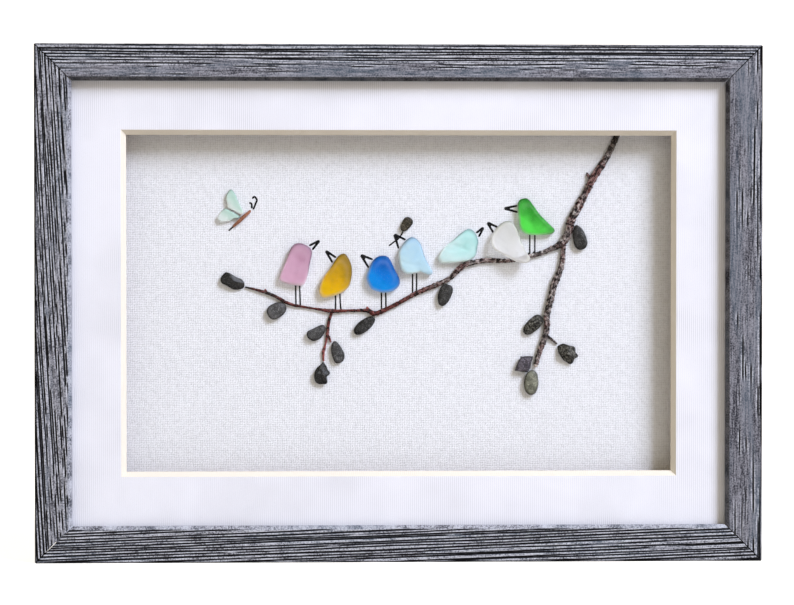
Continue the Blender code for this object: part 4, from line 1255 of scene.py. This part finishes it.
class GLASSART_OT_twig(bpy.types.Operator):
    """Add the twig with its branches, buds and bark"""

    bl_idname = "glass_art.twig"
    bl_label = "Twig"

    def execute(self, context):
        twig = context.scene.glass_art_twig
        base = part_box("twig")[1].y
        stem = smooth_line(STEM, 10)
        surfaces = [limb(STEM, twig.relief, SEEDS["stem"], flat=TWIG_FLATNESS, base=base)]
        for number, stations in enumerate(BRANCHES):
            known = stem if number < 2 or number > 3 else smooth_line(BRANCHES[number - 2], 10)
            nearest = np.argmin(np.linalg.norm(known[:, :2] - stations[0][:2], axis=1))
            blush, cut = BRANCH_LOOKS[number]
            surfaces.append(limb(
                stations, twig.relief, SEEDS["branches"] + number, lift=known[nearest, 2] / 2,
                flat=TWIG_FLATNESS, base=base, blush=blush, cut=cut,
            ))
        add_piece("bark_twig", surfaces, bark_finish(twig), ["twig"])
        return {"FINISHED"}


class GLASSART_OT_birds(bpy.types.Operator):
    """Add the seven glass birds"""

    bl_idname = "glass_art.birds"
    bl_label = "Glass birds"

    def execute(self, context):
        glass = context.scene.glass_art_glass
        for number, (name, (height, outline)) in enumerate(BIRDS.items()):
            # thin and deep: the painted light and the painted shade across the bird
            thin, deep = tuple(getattr(glass, name)), tuple(getattr(glass, f"{name}_deep"))
            clearness = CLEARNESS.get(name, USUAL_CLEARNESS)
            finish = glass_finish(f"glass_{name}", thin, deep, glass.frost, *clearness)
            lean = LEAN if name == LEANING_BIRD else 0.0
            seed = SEEDS["birds"] + number
            surface = shard(f"bird_{name}", height, outline, GLASS_THICKNESS, seed, lean)
            add_piece(f"glass_bird_{name}", [surface], finish, [f"bird_{name}"])
        return {"FINISHED"}


class GLASSART_OT_butterfly(bpy.types.Operator):
    """Add the butterfly's wings and its body"""

    bl_idname = "glass_art.butterfly"
    bl_label = "Butterfly"

    def execute(self, context):
        glass = context.scene.glass_art_glass
        # thin and deep: the painted light and the painted shade across the wings
        thin, deep = tuple(glass.wings), tuple(glass.wings_deep)
        finish = glass_finish("glass_wings", thin, deep, glass.frost, *WING_CLEARNESS)
        for number, (name, (height, outline)) in enumerate(WINGS.items()):
            node_name = f"butterfly_wing_{name}"
            surface = shard(node_name, height, outline, WING_THICKNESS, SEEDS["wings"] + number)
            add_piece(f"glass_wing_{name}", [surface], finish, [node_name])
        wood = mottled_finish(
            "brown_sliver", (0.20, 0.065, 0.030), (0.34, 0.15, 0.085), (900.0, 0.40, 0.62),
            (1600.0, 0.6, 0.0001), roughness=0.7,
        )
        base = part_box("butterfly_body")[1].y
        body = limb(BODY_LIMB, BODY_RELIEF, SEEDS["body"], base=base, step=0.3)
        add_piece("sliver_body", [body], wood, ["butterfly_body"])
        return {"FINISHED"}


class GLASSART_OT_stones(bpy.types.Operator):
    """Add the thirteen stone leaves"""

    bl_idname = "glass_art.stones"
    bl_label = "Stone leaves"

    def execute(self, context):
        stones = context.scene.glass_art_stone
        finishes = {
            name: stone_finish(name, tuple(getattr(stones, name)), cracked)
            for name, cracked in STONE_CRACKS.items()
        }
        for number, (key, facts) in enumerate(STONES.items()):
            finish = finishes[facts[-1]]
            add_piece(f"stone_leaf_{key}", [stone(key, number)], finish, [f"pebble_{key}"])
        return {"FINISHED"}


class GLASSART_OT_pen_lines(bpy.types.Operator):
    """Draw the beaks, the legs, the sprig's stem, the feelers and the tail in ink"""

    bl_idname = "glass_art.pen_lines"
    bl_label = "Pen lines"

    def execute(self, context):
        pen = context.scene.glass_art_pen
        surfaces = []
        for start, tip, end in BEAKS:
            surfaces += beak(start, tip, end, pen.beak_width, pen.film)
        surfaces += [pen_line(stroke, pen.leg_width, pen.film) for stroke in (*LEGS, SPRIG_STEM, TAIL)]
        surfaces += [pen_line(stroke, pen.feeler_width, pen.film) for stroke in FEELERS]
        ink = mottled_finish(
            "pen_ink", pen.ink, tinted(pen.ink, 1.0, 0.02), (1100.0, 0.45, 0.75),
            (2200.0, 0.2, 0.00005), roughness=0.7, specular_ior_level=0.05,
        )
        add_piece("pen_lines", surfaces, ink, [])
        return {"FINISHED"}


class GLASSART_OT_stage(bpy.types.Operator):
    """Add the pale floor, the daylight and the camera"""

    bl_idname = "glass_art.stage"
    bl_label = "Stage"

    def execute(self, context):
        stage = context.scene.glass_art_stage
        add_backdrop(tuple(stage.ground), stage.glow)
        middle = Vector((0.0, CAD_BOX[0].y, MIDDLE_Z))
        add_lamp(middle, stage.key, tuple(stage.key_tint))
        world = bpy.data.worlds.new("even_sky")
        world.use_nodes = True
        background = world.node_tree.nodes["Background"]
        background.inputs["Color"].default_value = (*stage.sky_tint, 1.0)
        background.inputs["Strength"].default_value = stage.sky
        context.scene.world = world
        context.scene.view_settings.view_transform = "Standard"

        forward = Vector((
            math.sin(stage.yaw) * math.cos(stage.pitch),
            math.cos(stage.yaw) * math.cos(stage.pitch),
            math.sin(stage.pitch),
        ))
        lens = bpy.data.cameras.new("camera")
        lens.lens = stage.lens
        lens.sensor_width = 36.0
        lens.clip_start = 0.05
        camera = link("camera", lens)
        camera.location = middle + Vector(AIM_SHIFT) - forward * stage.distance
        camera.rotation_euler = forward.to_track_quat("-Z", "Y").to_euler()
        context.scene.camera = camera
        return {"FINISHED"}


class GLASSART_PT_panel(bpy.types.Panel):
    """Lists the pieces of the picture and their settings"""

    bl_label = "Framed glass art"
    bl_idname = "GLASSART_PT_panel"
    bl_space_type = "VIEW_3D"
    bl_region_type = "UI"
    bl_category = "Glass art"

    def draw(self, context):
        for operator, holder in STEPS:
            box = self.layout.box()
            box.operator(operator.bl_idname)
            settings = getattr(context.scene, holder)
            for key in settings.__annotations__:
                box.prop(settings, key)


HOLDERS = {
    "glass_art_wood": WoodSettings,
    "glass_art_board": BoardSettings,
    "glass_art_glass": GlassSettings,
    "glass_art_twig": TwigSettings,
    "glass_art_stone": StoneSettings,
    "glass_art_pen": PenSettings,
    "glass_art_stage": StageSettings,
}
STEPS = (
    (GLASSART_OT_rails, "glass_art_wood"),
    (GLASSART_OT_boards, "glass_art_board"),
    (GLASSART_OT_twig, "glass_art_twig"),
    (GLASSART_OT_birds, "glass_art_glass"),
    (GLASSART_OT_butterfly, "glass_art_glass"),
    (GLASSART_OT_stones, "glass_art_stone"),
    (GLASSART_OT_pen_lines, "glass_art_pen"),
    (GLASSART_OT_stage, "glass_art_stage"),
)


def register():
    """Register the settings, the operators and the panel."""
    for holder, settings in HOLDERS.items():
        bpy.utils.register_class(settings)
        setattr(bpy.types.Scene, holder, PointerProperty(type=settings))
    for operator, holder in STEPS:
        bpy.utils.register_class(operator)
    bpy.utils.register_class(GLASSART_PT_panel)


def unregister():
    """Take everything out again."""
    bpy.utils.unregister_class(GLASSART_PT_panel)
    for operator, holder in reversed(STEPS):
        bpy.utils.unregister_class(operator)
    for holder, settings in HOLDERS.items():
        delattr(bpy.types.Scene, holder)
        bpy.utils.unregister_class(settings)


def main():
    register()
    bpy.ops.glass_art.rails()
    bpy.ops.glass_art.boards()
    bpy.ops.glass_art.twig()
    bpy.ops.glass_art.birds()
    bpy.ops.glass_art.butterfly()
    bpy.ops.glass_art.stones()
    bpy.ops.glass_art.pen_lines()
    bpy.ops.glass_art.stage()


if __name__ == "__main__":
    main()
